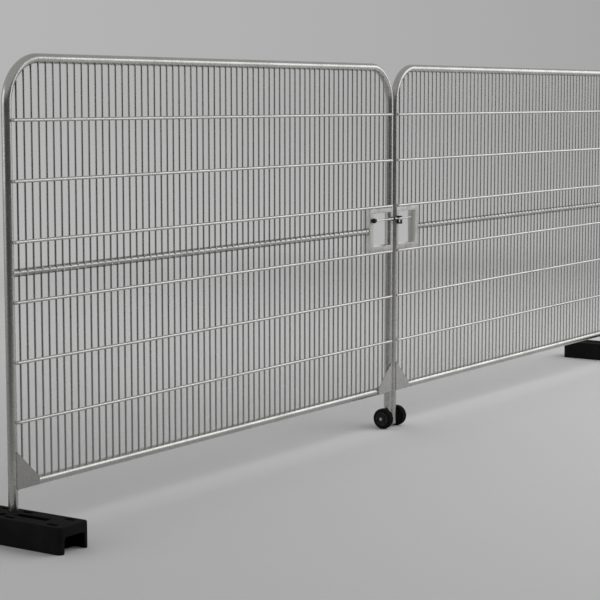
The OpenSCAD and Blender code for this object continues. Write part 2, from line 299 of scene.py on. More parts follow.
def bars(starts: np.ndarray, lengths: np.ndarray, axis: Axis, radius: float, sides: int) -> Patch:
    """Many straight round wires along one axis, with slightly rounded ends.

    Args:
        starts: Middle of each wire's lower end, shape (k, 3).
        lengths: Length of each wire.
        axis: The direction that they run along.
        radius: Their radius.
        sides: Points round each wire.

    Returns:
        All the wires in one surface.
    """
    soft, tip = 0.3 * radius, 0.75
    reach = np.array([0.0, soft, -soft, 0.0])
    share = np.array([0.0, 0.0, 1.0, 1.0])
    shrink = np.array([tip, 1.0, 1.0, tip])
    angle = circle(sides)
    first, second = (1, 2) if axis is Axis.X else (0, 1)
    rings = np.zeros((len(starts), len(reach), sides, 3)) + starts[:, None, None, :]
    rings[..., first] += radius * shrink[None, :, None] * np.cos(angle)
    rings[..., second] += radius * shrink[None, :, None] * np.sin(angle)
    rings[..., axis.value] += (reach + share * lengths[:, None])[:, :, None]
    wires = [grid(wire, wrap_v=True) for wire in rings]
    for wire in wires:
        wire.caps = end_caps(len(reach) * sides, sides)
    return joined(wires)


def beads(centres: np.ndarray, radii: Sequence[float], spread: float = 0.18) -> Patch:
    """Small weld beads: ellipsoids whose sizes differ a little.

    A point is centre + radii * (sin p cos a, sin p sin a, cos p).

    Args:
        centres: Middle of each bead, shape (k, 3).
        radii: Half sizes along X, Y and Z.
        spread: Largest share by which a bead's size differs.

    Returns:
        All the beads in one surface.
    """
    rings, pole = 5, 0.12
    tilt = np.linspace(pole, math.pi - pole, rings)[:, None]
    angle = circle(WELD_SIDES)[None, :]
    ball = spots(np.sin(tilt) * np.cos(angle), np.sin(tilt) * np.sin(angle), np.cos(tilt))
    size = np.asarray(radii) * (1.0 + spread * RNG.uniform(-1.0, 1.0, (len(centres), 3)))
    shells = ball[None] * size[:, None, None, :] + centres[:, None, None, :]
    out = [grid(shell, wrap_v=True) for shell in shells]
    for shell in out:
        shell.caps = end_caps(rings * WELD_SIDES, WELD_SIDES)
    return joined(out)


def lathe(profile: np.ndarray, steps: int, closed: bool = True) -> Patch:
    """Turns a profile about the X axis.

    Args:
        profile: (axial, radius) pairs, shape (n, 2), or (n, steps, 2) where
            they change with the angle.
        steps: Points round the axis.
        closed: The profile is a loop round a bore. An open one is closed by
            flat ends.

    Returns:
        The turned surface about the origin.
    """
    wide = profile if profile.ndim == 3 else np.repeat(profile[:, None, :], steps, axis=1)
    angle = circle(steps)
    rings = spots(wide[..., 0], wide[..., 1] * np.cos(angle), wide[..., 1] * np.sin(angle))
    surface = grid(rings, wrap_u=closed, wrap_v=True)
    if not closed:
        surface.caps = end_caps(len(wide) * steps, steps)
    return surface


def ring_stations(start: float, end: float, inner: Any, outer: Any, edge: float) -> list[tuple[float, Any]]:
    """Closed profile of a ring with broken outer edges.

    Args:
        start: Place of one face along the axis.
        end: Place of the other face.
        inner: Radius of the bore, or one for each angle.
        outer: Radius of the rim, or one for each angle.
        edge: Width of the broken edges.

    Returns:
        Pairs of a place along the axis and the radius there.
    """
    return [(start, inner), (start, outer - edge), (start + edge, outer),
            (end - edge, outer), (end, outer - edge), (end, inner)]


def rounded_loop(corners: np.ndarray, radius: float, steps: int = 4) -> np.ndarray:
    """A closed outline with its corners cut to quadratic curves.

    Each corner p becomes (1-t)^2 a + 2t(1-t) p + t^2 b, with a and b on its
    two edges at the given distance.

    Args:
        corners: Outline corners, shape (n, 2).
        radius: Distance from a corner to the ends of its curve.
        steps: Points on each curve.

    Returns:
        The rounded outline.
    """
    before = unit(np.roll(corners, 1, 0) - corners)
    after = unit(np.roll(corners, -1, 0) - corners)
    a = corners + radius * before
    b = corners + radius * after
    t = np.linspace(0.0, 1.0, steps)[None, :, None]
    curve = (1 - t) ** 2 * a[:, None] + 2 * t * (1 - t) * corners[:, None] + t ** 2 * b[:, None]
    return curve.reshape(-1, 2)


def prism(outline: np.ndarray, low: float, high: float, axes: tuple[int, int, int]) -> Patch:
    """A flat plate of one outline.

    Args:
        outline: Plate outline, shape (n, 2).
        low: Start of the plate's thickness.
        high: End of the plate's thickness.
        axes: Which coordinates the outline's two and the thickness are.

    Returns:
        The plate.
    """
    count = len(outline)
    points = np.zeros((2, count, 3))
    points[:, :, axes[0]] = outline[:, 0]
    points[:, :, axes[1]] = outline[:, 1]
    points[0, :, axes[2]] = low
    points[1, :, axes[2]] = high
    plate = grid(points, wrap_v=True)
    plate.caps = end_caps(2 * count, count)
    return plate


# Shader maths


class Value:
    """A shader socket that takes part in arithmetic."""

    def __init__(self, graph: "Graph", socket: bpy.types.NodeSocket) -> None:
        """Wraps a socket of a graph."""
        self.graph = graph
        self.socket = socket

    def _math(self, operation: str, *values: Number) -> "Value":
        """Adds a Math node of these values."""
        sockets = dict(enumerate(values))
        return self.graph.value("ShaderNodeMath", {"operation": operation}, sockets)

    def __add__(self, other: Number) -> "Value":
        """self + other."""
        return self._math("ADD", self, other)

    def __sub__(self, other: Number) -> "Value":
        """self - other."""
        return self._math("SUBTRACT", self, other)

    def __rsub__(self, other: Number) -> "Value":
        """other - self."""
        return self._math("SUBTRACT", other, self)

    def __mul__(self, other: Number) -> "Value":
        """self * other."""
        return self._math("MULTIPLY", self, other)

    def __abs__(self) -> "Value":
        """self without its sign."""
        return self._math("ABSOLUTE", self)

    def at_least(self, other: Number) -> "Value":
        """The larger of self and other."""
        return self._math("MAXIMUM", self, other)

    __radd__ = __add__
    __rmul__ = __mul__

    def smooth(self, low: float, high: float) -> "Value":
        """0 below low, 1 above high and a smooth step between.

        Args:
            low: Where the step starts.
            high: Where it ends.

        Returns:
            The step.
        """
        settings = {"interpolation_type": "SMOOTHSTEP"}
        sockets = {"Value": self, "From Min": low, "From Max": high}
        return self.graph.value("ShaderNodeMapRange", settings, sockets)


class Graph:
    """Builds the nodes of one material or of the world."""

    def __init__(self, tree: bpy.types.NodeTree) -> None:
        """Empties a node tree to build in."""
        self.tree = tree
        tree.nodes.clear()

    def add(self, kind: str, settings: dict[str, Any], sockets: dict[Any, Any]) -> bpy.types.Node:
        """Adds any node.

        Args:
            kind: The node's type.
            settings: Its properties, set first.
            sockets: Values or links of its inputs, by name or index.

        Returns:
            The node.
        """
        node = self.tree.nodes.new(kind)
        for name, setting in settings.items():
            setattr(node, name, setting)
        for name, given in sockets.items():
            if isinstance(given, Value):
                self.tree.links.new(given.socket, node.inputs[name])
            elif isinstance(given, tuple) and node.inputs[name].type == "RGBA":
                node.inputs[name].default_value = (*given, 1.0)
            else:
                node.inputs[name].default_value = given
        return node

    def value(self, kind: str, settings: dict[str, Any], sockets: dict[Any, Any], output: Any = 0) -> Value:
        """Adds a node and wraps one of its outputs."""
        return Value(self, self.add(kind, settings, sockets).outputs[output])

    def blend(self, first: Any, second: Any, factor: Number) -> Value:
        """Mixes two colours by a factor."""
        sockets = {0: factor, 6: first, 7: second}
        return self.value("ShaderNodeMix", {"data_type": "RGBA"}, sockets, 2)

    def place(self) -> Value:
        """The point on the surface in the object's own coordinates."""
        return self.value("ShaderNodeTexCoord", {}, {}, "Object")

    def vector(self, operation: str, *values: Any) -> Value:
        """A vector worked out from one or two others."""
        return self.value("ShaderNodeVectorMath", {"operation": operation}, dict(enumerate(values)))

    def dot(self, first: Value, second: Sequence[float]) -> Value:
        """How far one vector reaches along another."""
        sockets = {0: first, 1: second}
        return self.value("ShaderNodeVectorMath", {"operation": "DOT_PRODUCT"}, sockets, "Value")

    def stretched(self, scale: Sequence[float]) -> Value:
        """The point scaled by its own factor along each axis."""
        return self.value("ShaderNodeMapping", {}, {"Vector": self.place(), "Scale": scale})

    def noise(self, scale: float, detail: float, at: Value | None = None) -> Value:
        """Soft noise from 0 to 1 at a scale in cycles per metre."""
        sockets = {"Vector": at or self.place(), "Scale": scale, "Detail": detail, "Roughness": 0.55}
        return self.value("ShaderNodeTexNoise", {}, sockets)

    def cells(self, scale: float) -> Value:
        """A number from 0 to 1 that is constant in each cell of a mosaic."""
        mosaic = self.value("ShaderNodeTexVoronoi", {}, {"Vector": self.place(), "Scale": scale}, "Color")
        return self.value("ShaderNodeSeparateColor", {}, {0: mosaic})

    def bump(self, height: Value, strength: float, depth: float) -> Value:
        """A normal tilted by a height of a given depth in metres."""
        sockets = {"Height": height, "Strength": strength, "Distance": depth}
        return self.value("ShaderNodeBump", {}, sockets)

    def finish(self, constants: dict[str, Any], varying: dict[str, Value]) -> None:
        """Ends a material in a Principled shader.

        Args:
            constants: Numbers and colours that are the same all over.
            varying: What changes over the surface.
        """
        shader = self.value("ShaderNodeBsdfPrincipled", {}, {**constants, **varying})
        self.add("ShaderNodeOutputMaterial", {}, {"Surface": shader})


# Finishes


@dataclass(frozen=True)
class Finish:
    """What all the gate's materials share.

    Attributes:
        name: The material's name.
        slot: The record's name for it.
        colour: Its main colour.
    """

    name: str
    slot: str
    colour: Colour

    def material(self) -> bpy.types.Material:
        """The material, made on its first use.

        Returns:
            The material.
        """
        made = bpy.data.materials.get(self.name)
        if made is None:
            made = bpy.data.materials.new(self.name)
            made.use_nodes = True
            self.dress(Graph(made.node_tree))
        return made

    def dress(self, graph: Graph) -> None:
        """Builds the finish's nodes."""
        raise NotImplementedError

    def tinted(self, graph: Graph, colour: Value) -> Value:
        """The colour as it shows: unchanged."""
        return colour


@dataclass(frozen=True)
class ZincSteel(Finish):
    """Zinc-coated steel: crystal spangle, dull clouds and drawn streaks.

    Attributes:
        dull: Colour where the zinc has dulled.
        spangle: Crystals per metre.
        clouds: Dull clouds per metre.
        rough: Least roughness.
        metal: How metallic it is.
        relief: Strength of the bump.
        grain: Streaks per metre along X, Y and Z, in thirds.
        dulling: Shares of clouds, spangle and streaks in the dullness.
        roughening: What each of them adds to the roughness.
    """

    dull: Colour = (0.41, 0.406, 0.394)
    spangle: float = 110.0
    clouds: float = 5.0
    rough: float = 0.2
    metal: float = 1.0
    relief: float = 0.25
    grain: Sequence[float] = (40.0, 40.0, 4.0)
    dulling: tuple[float, float, float] = (0.45, 0.3, 0.25)
    roughening: tuple[float, float, float] = (0.08, 0.05, 0.04)

    def dress(self, graph: Graph) -> None:
        """Colour and roughness follow the clouds, the spangle and the streaks.

        Args:
            graph: The material's nodes.
        """
        clouds = graph.noise(self.clouds, 4.0).smooth(0.35, 0.68)
        spangle = graph.cells(self.spangle)
        streaks = graph.noise(3.0, 3.0, graph.stretched(self.grain)).smooth(0.4, 0.7)
        cloudy, mosaic, drawn = self.dulling
        dullness = clouds * cloudy + spangle * mosaic + streaks * drawn
        colour = self.tinted(graph, graph.blend(self.colour, self.dull, dullness))
        cloudy, mosaic, drawn = self.roughening
        rough = self.rough + clouds * cloudy + spangle * mosaic + streaks * drawn
        height = graph.noise(260.0, 2.0) * 0.6 + spangle * 0.4
        graph.finish({"Metallic": self.metallic(graph)},
                     {"Base Color": colour, "Roughness": rough,
                      "Normal": graph.bump(height, self.relief, 0.0004)})

    def metallic(self, graph: Graph) -> Number:
        """How metallic the surface is: the same all over."""
        return self.metal


@dataclass(frozen=True)
class FoldedZinc(ZincSteel):
    """Zinc-coated sheet whose web and inner faces are painted paler and matt, as painted fill light.

    Attributes:
        shelter: Distances from the gate's middle plane between which the painted fill light ends.
        painted_fill: Share of the painted fill light: how far the inner faces go to its pale colour and how
            much of the metal's shine they lose.
        fill_colour: Pale colour painted on the inner faces as painted fill light.
    """

    shelter: tuple[float, float] = (0.0216, 0.0236)
    # Painted light: the lock box's web and inner faces are painted paler and matt, standing in for light
    # that doesn't reach inside.
    painted_fill: float = 0.9
    fill_colour: Colour = (0.82, 0.815, 0.8)

    def sheltered(self, graph: Graph) -> Value:
        """1 between the outer faces of the two flanges, 0 on them."""
        away = abs(graph.dot(graph.place(), ACROSS))
        return 1.0 - away.smooth(*self.shelter)

    def tinted(self, graph: Graph, colour: Value) -> Value:
        """The colour, drawn towards the pale colour of the painted fill light on the inner faces."""
        return graph.blend(colour, self.fill_colour, self.sheltered(graph) * self.painted_fill)

    def metallic(self, graph: Graph) -> Number:
        """Metal all over, less where the painted fill light lies."""
        return self.metal * (1.0 - self.painted_fill * self.sheltered(graph))


@dataclass(frozen=True)
class WeldMetal(Finish):
    """Weld beads under the zinc: rippled, a little darker and rougher.

    Attributes:
        scale: Colour of the scale left on the beads.
        rough: Least roughness.
        relief: Strength of the ripples.
    """

    scale: Colour = (0.30, 0.30, 0.29)
    rough: float = 0.4
    relief: float = 0.5

    def dress(self, graph: Graph) -> None:
        """Scale tints and roughens the bead, ripples tilt the normal.

        Args:
            graph: The material's nodes.
        """
        specks = graph.noise(180.0, 3.0).smooth(0.4, 0.7)
        ripple = graph.noise(420.0, 2.0)
        colour = graph.blend(self.colour, self.scale, specks)
        graph.finish({"Metallic": 1.0},
                     {"Base Color": colour, "Roughness": self.rough + specks * 0.15,
                      "Normal": graph.bump(ripple, self.relief, 0.0008)})


@dataclass(frozen=True)
class BlackPaint(Finish):
    """Satin black paint with a fine orange peel and faint rubbed patches.

    Attributes:
        pale: Colour of the rubbed patches.
        rough: Roughness between them.
        relief: Strength of the orange peel.
    """

    pale: Colour = (0.03, 0.03, 0.031)
    rough: float = 0.45
    relief: float = 0.2

    def dress(self, graph: Graph) -> None:
        """Rubbed patches are a little paler and glossier.

        Args:
            graph: The material's nodes.
        """
        rubbed = graph.noise(45.0, 4.0).smooth(0.55, 0.75)
        peel = graph.noise(600.0, 1.0)
        colour = graph.blend(self.colour, self.pale, rubbed)
        graph.finish({"Specular IOR Level": 0.25},
                     {"Base Color": colour, "Roughness": self.rough - rubbed * 0.1,
                      "Normal": graph.bump(peel, self.relief, 0.0003)})


@dataclass(frozen=True)
class Moulded(Finish):
    """Moulded plastic with a spark-eroded grain.

    Attributes:
        pale: Colour of the scuffs.
        rough: Least roughness.
        relief: Strength of the grain.
    """

    pale: Colour = (0.035, 0.035, 0.037)
    rough: float = 0.5
    relief: float = 0.3

    def dress(self, graph: Graph) -> None:
        """Scuffs lift the colour, the grain tilts the normal.

        Args:
            graph: The material's nodes.
        """
        scuffs = graph.noise(60.0, 5.0).smooth(0.55, 0.8)
        grain = graph.noise(900.0, 2.0)
        colour = graph.blend(self.colour, self.pale, scuffs)
        graph.finish({"Specular IOR Level": 0.3},
                     {"Base Color": colour, "Roughness": self.rough + scuffs * 0.15,
                      "Normal": graph.bump(grain, self.relief, 0.0003)})


@dataclass(frozen=True)
class CrumbRubber(Finish):
    """Pressed rubber crumb: fine granules, dust in the hollows, worn patches.

    Attributes:
        dust: Colour of the dust.
        crumb: Granules per metre.
        dusty: How much of the dust shows.
        rough: Least roughness.
        relief: Strength of the granules.
    """

    dust: Colour = (0.03, 0.03, 0.029)
    crumb: float = 330.0
    dusty: float = 0.5
    rough: float = 0.66
    relief: float = 0.45

    def dress(self, graph: Graph) -> None:
        """Granules vary the colour, dust lies in soft clouds.

        Args:
            graph: The material's nodes.
        """
        crumbs = graph.cells(self.crumb)
        clouds = graph.noise(9.0, 5.0).smooth(0.45, 0.75)
        flecks = graph.noise(150.0, 4.0).smooth(0.55, 0.75)
        dusting = (clouds * 0.5 + flecks * 0.35) * self.dusty + crumbs * 0.1
        colour = self.tinted(graph, graph.blend(self.colour, self.dust, dusting))
        height = crumbs * 0.5 + graph.noise(500.0, 3.0) * 0.5
        graph.finish({"Specular IOR Level": 0.02},
                     {"Base Color": colour, "Roughness": self.rough + clouds * 0.2 + flecks * 0.08,
                      "Normal": graph.bump(height, self.relief, 0.0008)})


@dataclass(frozen=True)
class BlockRubber(CrumbRubber):
    """Crumb rubber of a foot, with painted shade inside its recesses and hand holds.

    Attributes:
        recess_shade: Near-black colour painted inside the recesses as painted shade.
        middle: Distance of a foot's middle from the gate's, along the gate.
        rim: Heights between which the painted shade ends below the top.
        across: Distances from a foot's middle, along the gate, between which it ends.
        along: Distances from the gate's middle plane between which it ends.
    """

    # Painted shade: near black laid inside the recesses and hand holds, where shade falls.
    recess_shade: Colour = (0.001, 0.001, 0.001)
    middle: float = 3.0775
    rim: tuple[float, float] = (0.104, 0.109)
    across: tuple[float, float] = (0.078, 0.083)
    along: tuple[float, float] = (0.35, 0.359)

    def tinted(self, graph: Graph, colour: Value) -> Value:
        """The colour, drawn towards near black inside the block's outer faces, as painted shade in the
        recesses.

        Args:
            graph: The material's nodes.
            colour: The rubber's own colour.

        Returns:
            The colour as it shows.
        """
        place = graph.place()
        from_middle = abs(abs(graph.dot(place, ALONG)) - self.middle)
        reach = [graph.dot(place, UP).smooth(*self.rim), from_middle.smooth(*self.across),
                 abs(graph.dot(place, ACROSS)).smooth(*self.along)]
        # Painted shade: 1 inside a recess, socket or hand hold, 0 on the block's outer faces and top.
        inside = math.prod(1.0 - value for value in reach)
        return graph.blend(colour, self.recess_shade, inside)


STEEL = ZincSteel("zinc_tube", "galvanised_steel", (0.53, 0.525, 0.51))
# Darker copy of the tube zinc, as painted shade: on the middle rail it stands for the shade of the wires;
# the outer gussets take it too.
SHADED_ZINC = ZincSteel("shaded_zinc", "galvanised_steel", (0.41, 0.406, 0.395), dull=(0.32, 0.317, 0.308))
# Lock box sheet, with painted fill light on its web and inner faces.
PLATE = FoldedZinc("zinc_plate", "galvanised_steel", (0.5, 0.495, 0.482), dull=(0.33, 0.327, 0.318),
                   rough=0.36, metal=0.6, clouds=22.0, spangle=70.0)
# Lit and shaded copies of the wire zinc: the left leaf's wires are painted darker as painted shade, the
# right leaf's paler as painted light.
SHADED_WIRE = ZincSteel("shaded_wire", "galvanised_steel", (0.385, 0.381, 0.371), dull=(0.34, 0.337, 0.328),
                     clouds=9.0, relief=0.1)
LIT_WIRE = ZincSteel("lit_wire", "galvanised_steel", (0.47, 0.466, 0.453), dull=(0.42, 0.416, 0.405),
                     clouds=9.0, relief=0.1)
BAR = ZincSteel("drawn_bar", "galvanised_steel", (0.6, 0.594, 0.58), dull=(0.5, 0.495, 0.482),
                clouds=9.0, relief=0.1)
BRIGHT = ZincSteel("bright_zinc", "zinc_hardware", (0.72, 0.72, 0.71), dull=(0.5, 0.5, 0.5),
                   grain=(60.0, 60.0, 60.0))
NUT = ZincSteel("dull_zinc", "zinc_hardware", (0.45, 0.45, 0.44), dull=(0.33, 0.33, 0.325), rough=0.34)
WELD = WeldMetal("weld_metal", "galvanised_steel", (0.5, 0.5, 0.49))
PAINT = BlackPaint("black_paint", "black_steel", (0.01, 0.01, 0.011))
PLASTIC = Moulded("moulded_black", "black_plastic", (0.012, 0.012, 0.013))
NYLON = Moulded("natural_nylon", "bush_nylon", (0.72, 0.70, 0.64), pale=(0.78, 0.77, 0.72), rough=0.4)
TYRE = CrumbRubber("crumb_tyre", "tyre_rubber", (0.008, 0.008, 0.008), dusty=0.35)
# The feet's rubber, with painted shade in its recesses.
FOOT = BlockRubber("crumb_foot", "foot_rubber", (0.009, 0.009, 0.009))


# Pieces


@dataclass(frozen=True)
class Bevel:
    """A rounded edge left by a Bevel modifier.

    Attributes:
        width: How far the rounding reaches from the edge.
        segments: Faces across it.
    """

    width: float
    segments: int = 3


def make_piece(name: str, surface: Patch, finish: Finish, body: str, replaces: Sequence[str] = (),
               bevel: Bevel | None = None, sheet: float = 0.0, sharp: float = 35.0) -> None:
    """Turns a surface into a piece that rides on a body.

    Args:
        name: The piece's name.
        surface: Its points and faces.
        finish: Its material.
        body: The body that it moves with.
        replaces: The nodes that it stands for.
        bevel: Rounds its sharp edges.
        sheet: Thickness given to an open surface, or 0 for a closed one.
        sharp: Edges steeper than this, in degrees, stay sharp in the shading.
    """
    mesh = bpy.data.meshes.new(name)
    mesh.from_pydata(surface.points.tolist(), [], surface.quads.tolist() + surface.caps)
    work = bmesh.new()
    work.from_mesh(mesh)
    bmesh.ops.remove_doubles(work, verts=work.verts, dist=TINY)
    bmesh.ops.recalc_face_normals(work, faces=work.faces)
    work.to_mesh(mesh)
    work.free()
    mesh.shade_smooth()
    mesh.set_sharp_from_angle(angle=math.radians(sharp))
    mesh.materials.append(finish.material())
    piece = bpy.data.objects.new(name, mesh)
    bpy.context.scene.collection.objects.link(piece)
    if sheet:
        skin = piece.modifiers.new("sheet", "SOLIDIFY")
        skin.thickness = sheet
        skin.offset = 0.0
        skin.use_even_offset = True
    if bevel:
        edge = piece.modifiers.new("edge", "BEVEL")
        edge.width = bevel.width
        edge.segments = bevel.segments
        edge.limit_method = "ANGLE"
        edge.angle_limit = math.radians(sharp)
    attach(piece, body)
    if replaces:
        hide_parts(*replaces)
    LOG.info("%s rides on %s with %d faces", name, body, len(mesh.polygons))


@dataclass
class Leaf:
    """One leaf: bent tube frame, rails, mesh, gussets, lock box and axle.

    Attributes:
        side: The leaf's side of the gate.
        wall: Wall of the frame tube.
        bend_r: Radius of the top bends at the middle of the tube.
        wire_count: Vertical wires of the leaf.
        bar_count: Horizontal wires of the leaf.
        sink: How far welded ends reach into what they are welded to.
        tip_bead: Half sizes of the beads on the ends of the horizontal wires.
        cross_bead: Half sizes of the beads where wires cross.
        end_bead: Half sizes of the beads at the ends of the vertical wires.
        rim_bead: Half sizes of the beads on the front of the middle rail.
        rim_turn: Their turn up and down from the rail's foremost line, in degrees.
    """

    side: Side
    wall: float = 0.002
    bend_r: float = 0.189
    wire_count: int = 66
    bar_count: int = 6
    sink: float = 0.003
    tip_bead: tuple[float, float, float] = (0.0085, 0.0076, 0.0072)
    cross_bead: tuple[float, float, float] = (0.006, 0.0022, 0.0062)
    end_bead: tuple[float, float, float] = (0.0056, 0.0056, 0.003)
    rim_bead: tuple[float, float, float] = (0.0056, 0.004, 0.0074)
    rim_turn: float = 30.0

    def __post_init__(self) -> None:
        """Reads the leaf's sizes from the frame."""
        self.body = self.side.node("leaf")
        # Painted light and shade: each leaf's wires take their own lit or shaded copy of the wire zinc.
        self.wire = SHADED_WIRE if self.side is Side.LEFT else LIT_WIRE
        low, high = self.span("frame_tube")
        rail, wires, cross = (self.span(n) for n in ("bottom_rail", "vertical_wires", "horizontal_wires"))
        self.tube_r, self.rail_z = half(rail, 2), middle(rail, 2)
        self.post_in = low[0] + self.tube_r
        self.leaf_w = high[0] - low[0] - 2 * self.tube_r
        self.post_z, self.top_z = low[2], high[2] - self.tube_r
        self.wire_r, self.wire_y = half(wires, 1), middle(wires, 1)
        self.chord = math.sqrt(self.tube_r ** 2 - self.wire_y ** 2)
        self.bar_r, self.bar_y = half(cross, 1), middle(cross, 1)
        self.bar_z = np.linspace(cross[0][2] + self.bar_r, cross[1][2] - self.bar_r, self.bar_count)
        self.box_low, self.box_high = self.local("lock_box")
        first, last = self.local("lock_wires")[0][0], self.local("vertical_wires")[1][0]
        self.wire_u = np.linspace(first + self.wire_r, last - self.wire_r, self.wire_count)
        rail = self.local("middle_rail")
        self.mid_r, self.mid_y, self.mid_z = half(rail, 2), middle(rail, 1), middle(rail, 2)

    def span(self, name: str) -> Span:
        """A node's box with X counted outwards from the middle of the gate.

        Args:
            name: The node's name without its side.

        Returns:
            Its low and its high corner.
        """
        low, high = box_of(self.side.node(name))
        if self.side is Side.LEFT:
            low[0], high[0] = -high[0], -low[0]
        return low, high

    def local(self, name: str) -> Span:
        """A node's box with X counted outwards from the free post's axis.

        Args:
            name: The node's name without its side.

        Returns:
            Its low and its high corner.
        """
        low, high = self.span(name)
        low[0] -= self.post_in
        high[0] -= self.post_in
        return low, high

    def piece(self, name: str, surface: Patch, finish: Finish, body: str | None = None,
              stands_for: Sequence[str] | None = None, **options: Any) -> None:
        """Sets a surface on this side as a piece that stands for its node.

        Args:
            name: The piece's name without its side.
            surface: Its surface, drawn along u.
            finish: Its material.
            body: The body that it moves with, or None for the leaf.
            stands_for: The nodes that it replaces, or None for its own.
            options: What else make_piece takes.
        """
        nodes = [name] if stands_for is None else list(stands_for)
        make_piece(self.side.node(name), surface.on_side(self.side, self.post_in), finish,
                   body or self.body, [self.side.node(n) for n in nodes], **options)

    def frame_path(self) -> np.ndarray:
        """Middle line of the frame tube: post, bend, top rail, bend, post.

        A bend's points are centre + bend_r * (cos a, sin a).

        Returns:
            The points of the line.
        """
        bend_steps, post_steps = 25, 12
        bend_z = self.top_z - self.bend_r
        arc = np.linspace(math.pi, math.pi / 2, bend_steps)
        bend = spots(self.bend_r * (1 + np.cos(arc)), 0.0, bend_z + self.bend_r * np.sin(arc))
        post = spots(0.0, 0.0, np.linspace(self.post_z, bend_z, post_steps, endpoint=False))
        near = np.concatenate([post, bend])
        far = near[::-1] * (-1, 1, 1) + (self.leaf_w, 0, 0)
        return np.concatenate([near, far])

    def saddle(self, radius: float, y: float, z: float, bead: float) -> Patch:
        """Weld bead round a tube where it meets the free post.

        The bead's path is (sqrt(R^2 - Y^2), Y, Z) round the tube's circle.

        Args:
            radius: Radius of the welded tube.
            y: Its axis across the gate.
            z: Its height.
            bead: Radius of the bead.

        Returns:
            The bead on the side of the post that faces outwards along +u.
        """
        steps, depth, waves = 72, 0.12, 18.0
        angle = circle(steps)
        across = y + radius * np.cos(angle)
        out = np.sqrt(np.maximum(self.tube_r ** 2 - across ** 2, 1e-8))
        path = spots(out, across, z + radius * np.sin(angle))
        return tube(path, rippled(bead, depth, waves * angle), ALONG, WELD_SIDES, closed=True)

    def build(self) -> None:
        """Makes all the leaf's pieces."""
        self.build_frame()
        self.build_mesh()
        self.build_gussets()
        self.build_lock_box()

    def build_frame(self) -> None:
        """The bent frame tube, the rails and their welds."""
        frame_sides, rail_sides, rail_steps, mid_steps, inset = 48, 32, 24, 20, 0.999
        rail_bead, mid_bead, box_bead, depth, waves = 0.0035, 0.003, 0.0025, 0.15, 16
        bore = self.tube_r - self.wall
        self.piece("frame_tube", pipe(self.frame_path(), self.tube_r, bore, ACROSS, frame_sides), STEEL)
        low, high = self.local("bottom_rail")
        line = spots(np.linspace(low[0] + self.sink, high[0] - self.sink, rail_steps), 0.0, self.rail_z)
        self.piece("bottom_rail", tube(line, self.tube_r * inset, ACROSS, frame_sides), STEEL)
        low, high = self.local("middle_rail")
        line = spots(np.linspace(low[0], high[0], mid_steps), self.mid_y, self.mid_z)
        # Painted shade: the middle rail takes the darker, shaded copy of the zinc.
        self.piece("middle_rail", tube(line, self.mid_r, ACROSS, rail_sides), SHADED_ZINC)
        angle = circle(frame_sides)
        ring = spots(low[0], self.mid_y + self.mid_r * np.cos(angle),
                     self.mid_z + self.mid_r * np.sin(angle))
        rail_weld = self.saddle(self.tube_r, 0.0, self.rail_z, rail_bead)
        mid_weld = self.saddle(self.mid_r, self.mid_y, self.mid_z, mid_bead)
        box_weld = tube(ring, rippled(box_bead, depth, waves * angle), ALONG, WELD_SIDES, closed=True)
        welds = [rail_weld, rail_weld.mirrored(self.leaf_w), mid_weld.mirrored(self.leaf_w), box_weld]
        self.piece("tube_welds", joined(welds), WELD, stands_for=())

    def wire_top(self, u: np.ndarray) -> np.ndarray:
        """Height where a vertical wire enters the top rail or a bend.

        Args:
            u: Places of the wires along the leaf.

        Returns:
            The height of each.
        """
        inner = self.bend_r - self.chord
        near = np.minimum(u, self.leaf_w - u)
        rise = np.sqrt(np.maximum(inner ** 2 - (self.bend_r - near) ** 2, 0.0))
        bend_z = self.top_z - self.bend_r
        return np.where(near >= self.bend_r, self.top_z - self.chord, bend_z + rise) + self.sink

    def build_mesh(self) -> None:
        """Vertical and horizontal wires and the welds where they cross."""
        bar_sides, into_rail, tip_back, tip_spread = 28, 0.5 * self.mid_r, 0.001, 0.05
        foot_z = self.rail_z + self.chord - self.sink
        beside = self.wire_u - self.wire_r > self.box_high[0]
        outer, inner = self.wire_u[beside], self.wire_u[~beside]
        long_wires = self.split(outer, foot_z, self.mid_z - into_rail, self.mid_z + into_rail)
        self.piece("vertical_wires", long_wires, self.wire)
        self.piece("lock_wires", self.split(inner, foot_z, self.box_low[2], self.box_high[2]), self.wire)
        low, high = self.local("horizontal_wires")
        ends = low[0] - self.sink, high[0] + self.sink
        length = np.full(self.bar_count, high[0] - low[0] + 2 * self.sink)
        wires = bars(spots(ends[0], self.bar_y, self.bar_z), length, Axis.X, self.bar_r, bar_sides)
        tips = np.concatenate([spots(end, self.bar_y + tip_back, self.bar_z) for end in ends])
        self.piece("horizontal_wires", joined([wires, beads(tips, self.tip_bead, tip_spread)]), BAR)
        u, z = np.meshgrid(self.wire_u, self.bar_z)
        between = (self.wire_y - self.wire_r + self.bar_y + self.bar_r) / 2
        crossings = spots(u.ravel(), between, z.ravel())
        heights = (foot_z + self.sink, self.wire_top(self.wire_u) - self.sink)
        wire_ends = np.concatenate([spots(self.wire_u, self.wire_y, height) for height in heights])
        turn = math.radians(self.rim_turn)
        front, rise = self.mid_y - self.mid_r * math.cos(turn), self.mid_r * math.sin(turn)
        rims = np.concatenate([spots(outer, front, self.mid_z + at) for at in (-rise, rise)])
        welds = [beads(crossings, self.cross_bead), beads(wire_ends, self.end_bead),
                 beads(rims, self.rim_bead)]
        self.piece("wire_welds", joined(welds), WELD, stands_for=())

    def split(self, u: np.ndarray, foot_z: float, low: float, high: float) -> Patch:
        """Vertical wires at each u in two lengths.

        Args:
            u: The wires' places.
            foot_z: Where they start.
            low: Where the lower lengths end.
            high: Where the upper lengths start.

        Returns:
            Both lengths of every wire.
        """
        sides, lower_length = 14, np.full(len(u), low - foot_z)
        lower = bars(spots(u, self.wire_y, foot_z), lower_length, Axis.Z, self.wire_r, sides)
        upper = bars(spots(u, self.wire_y, high), self.wire_top(u) - high, Axis.Z, self.wire_r, sides)
        return joined([lower, upper])

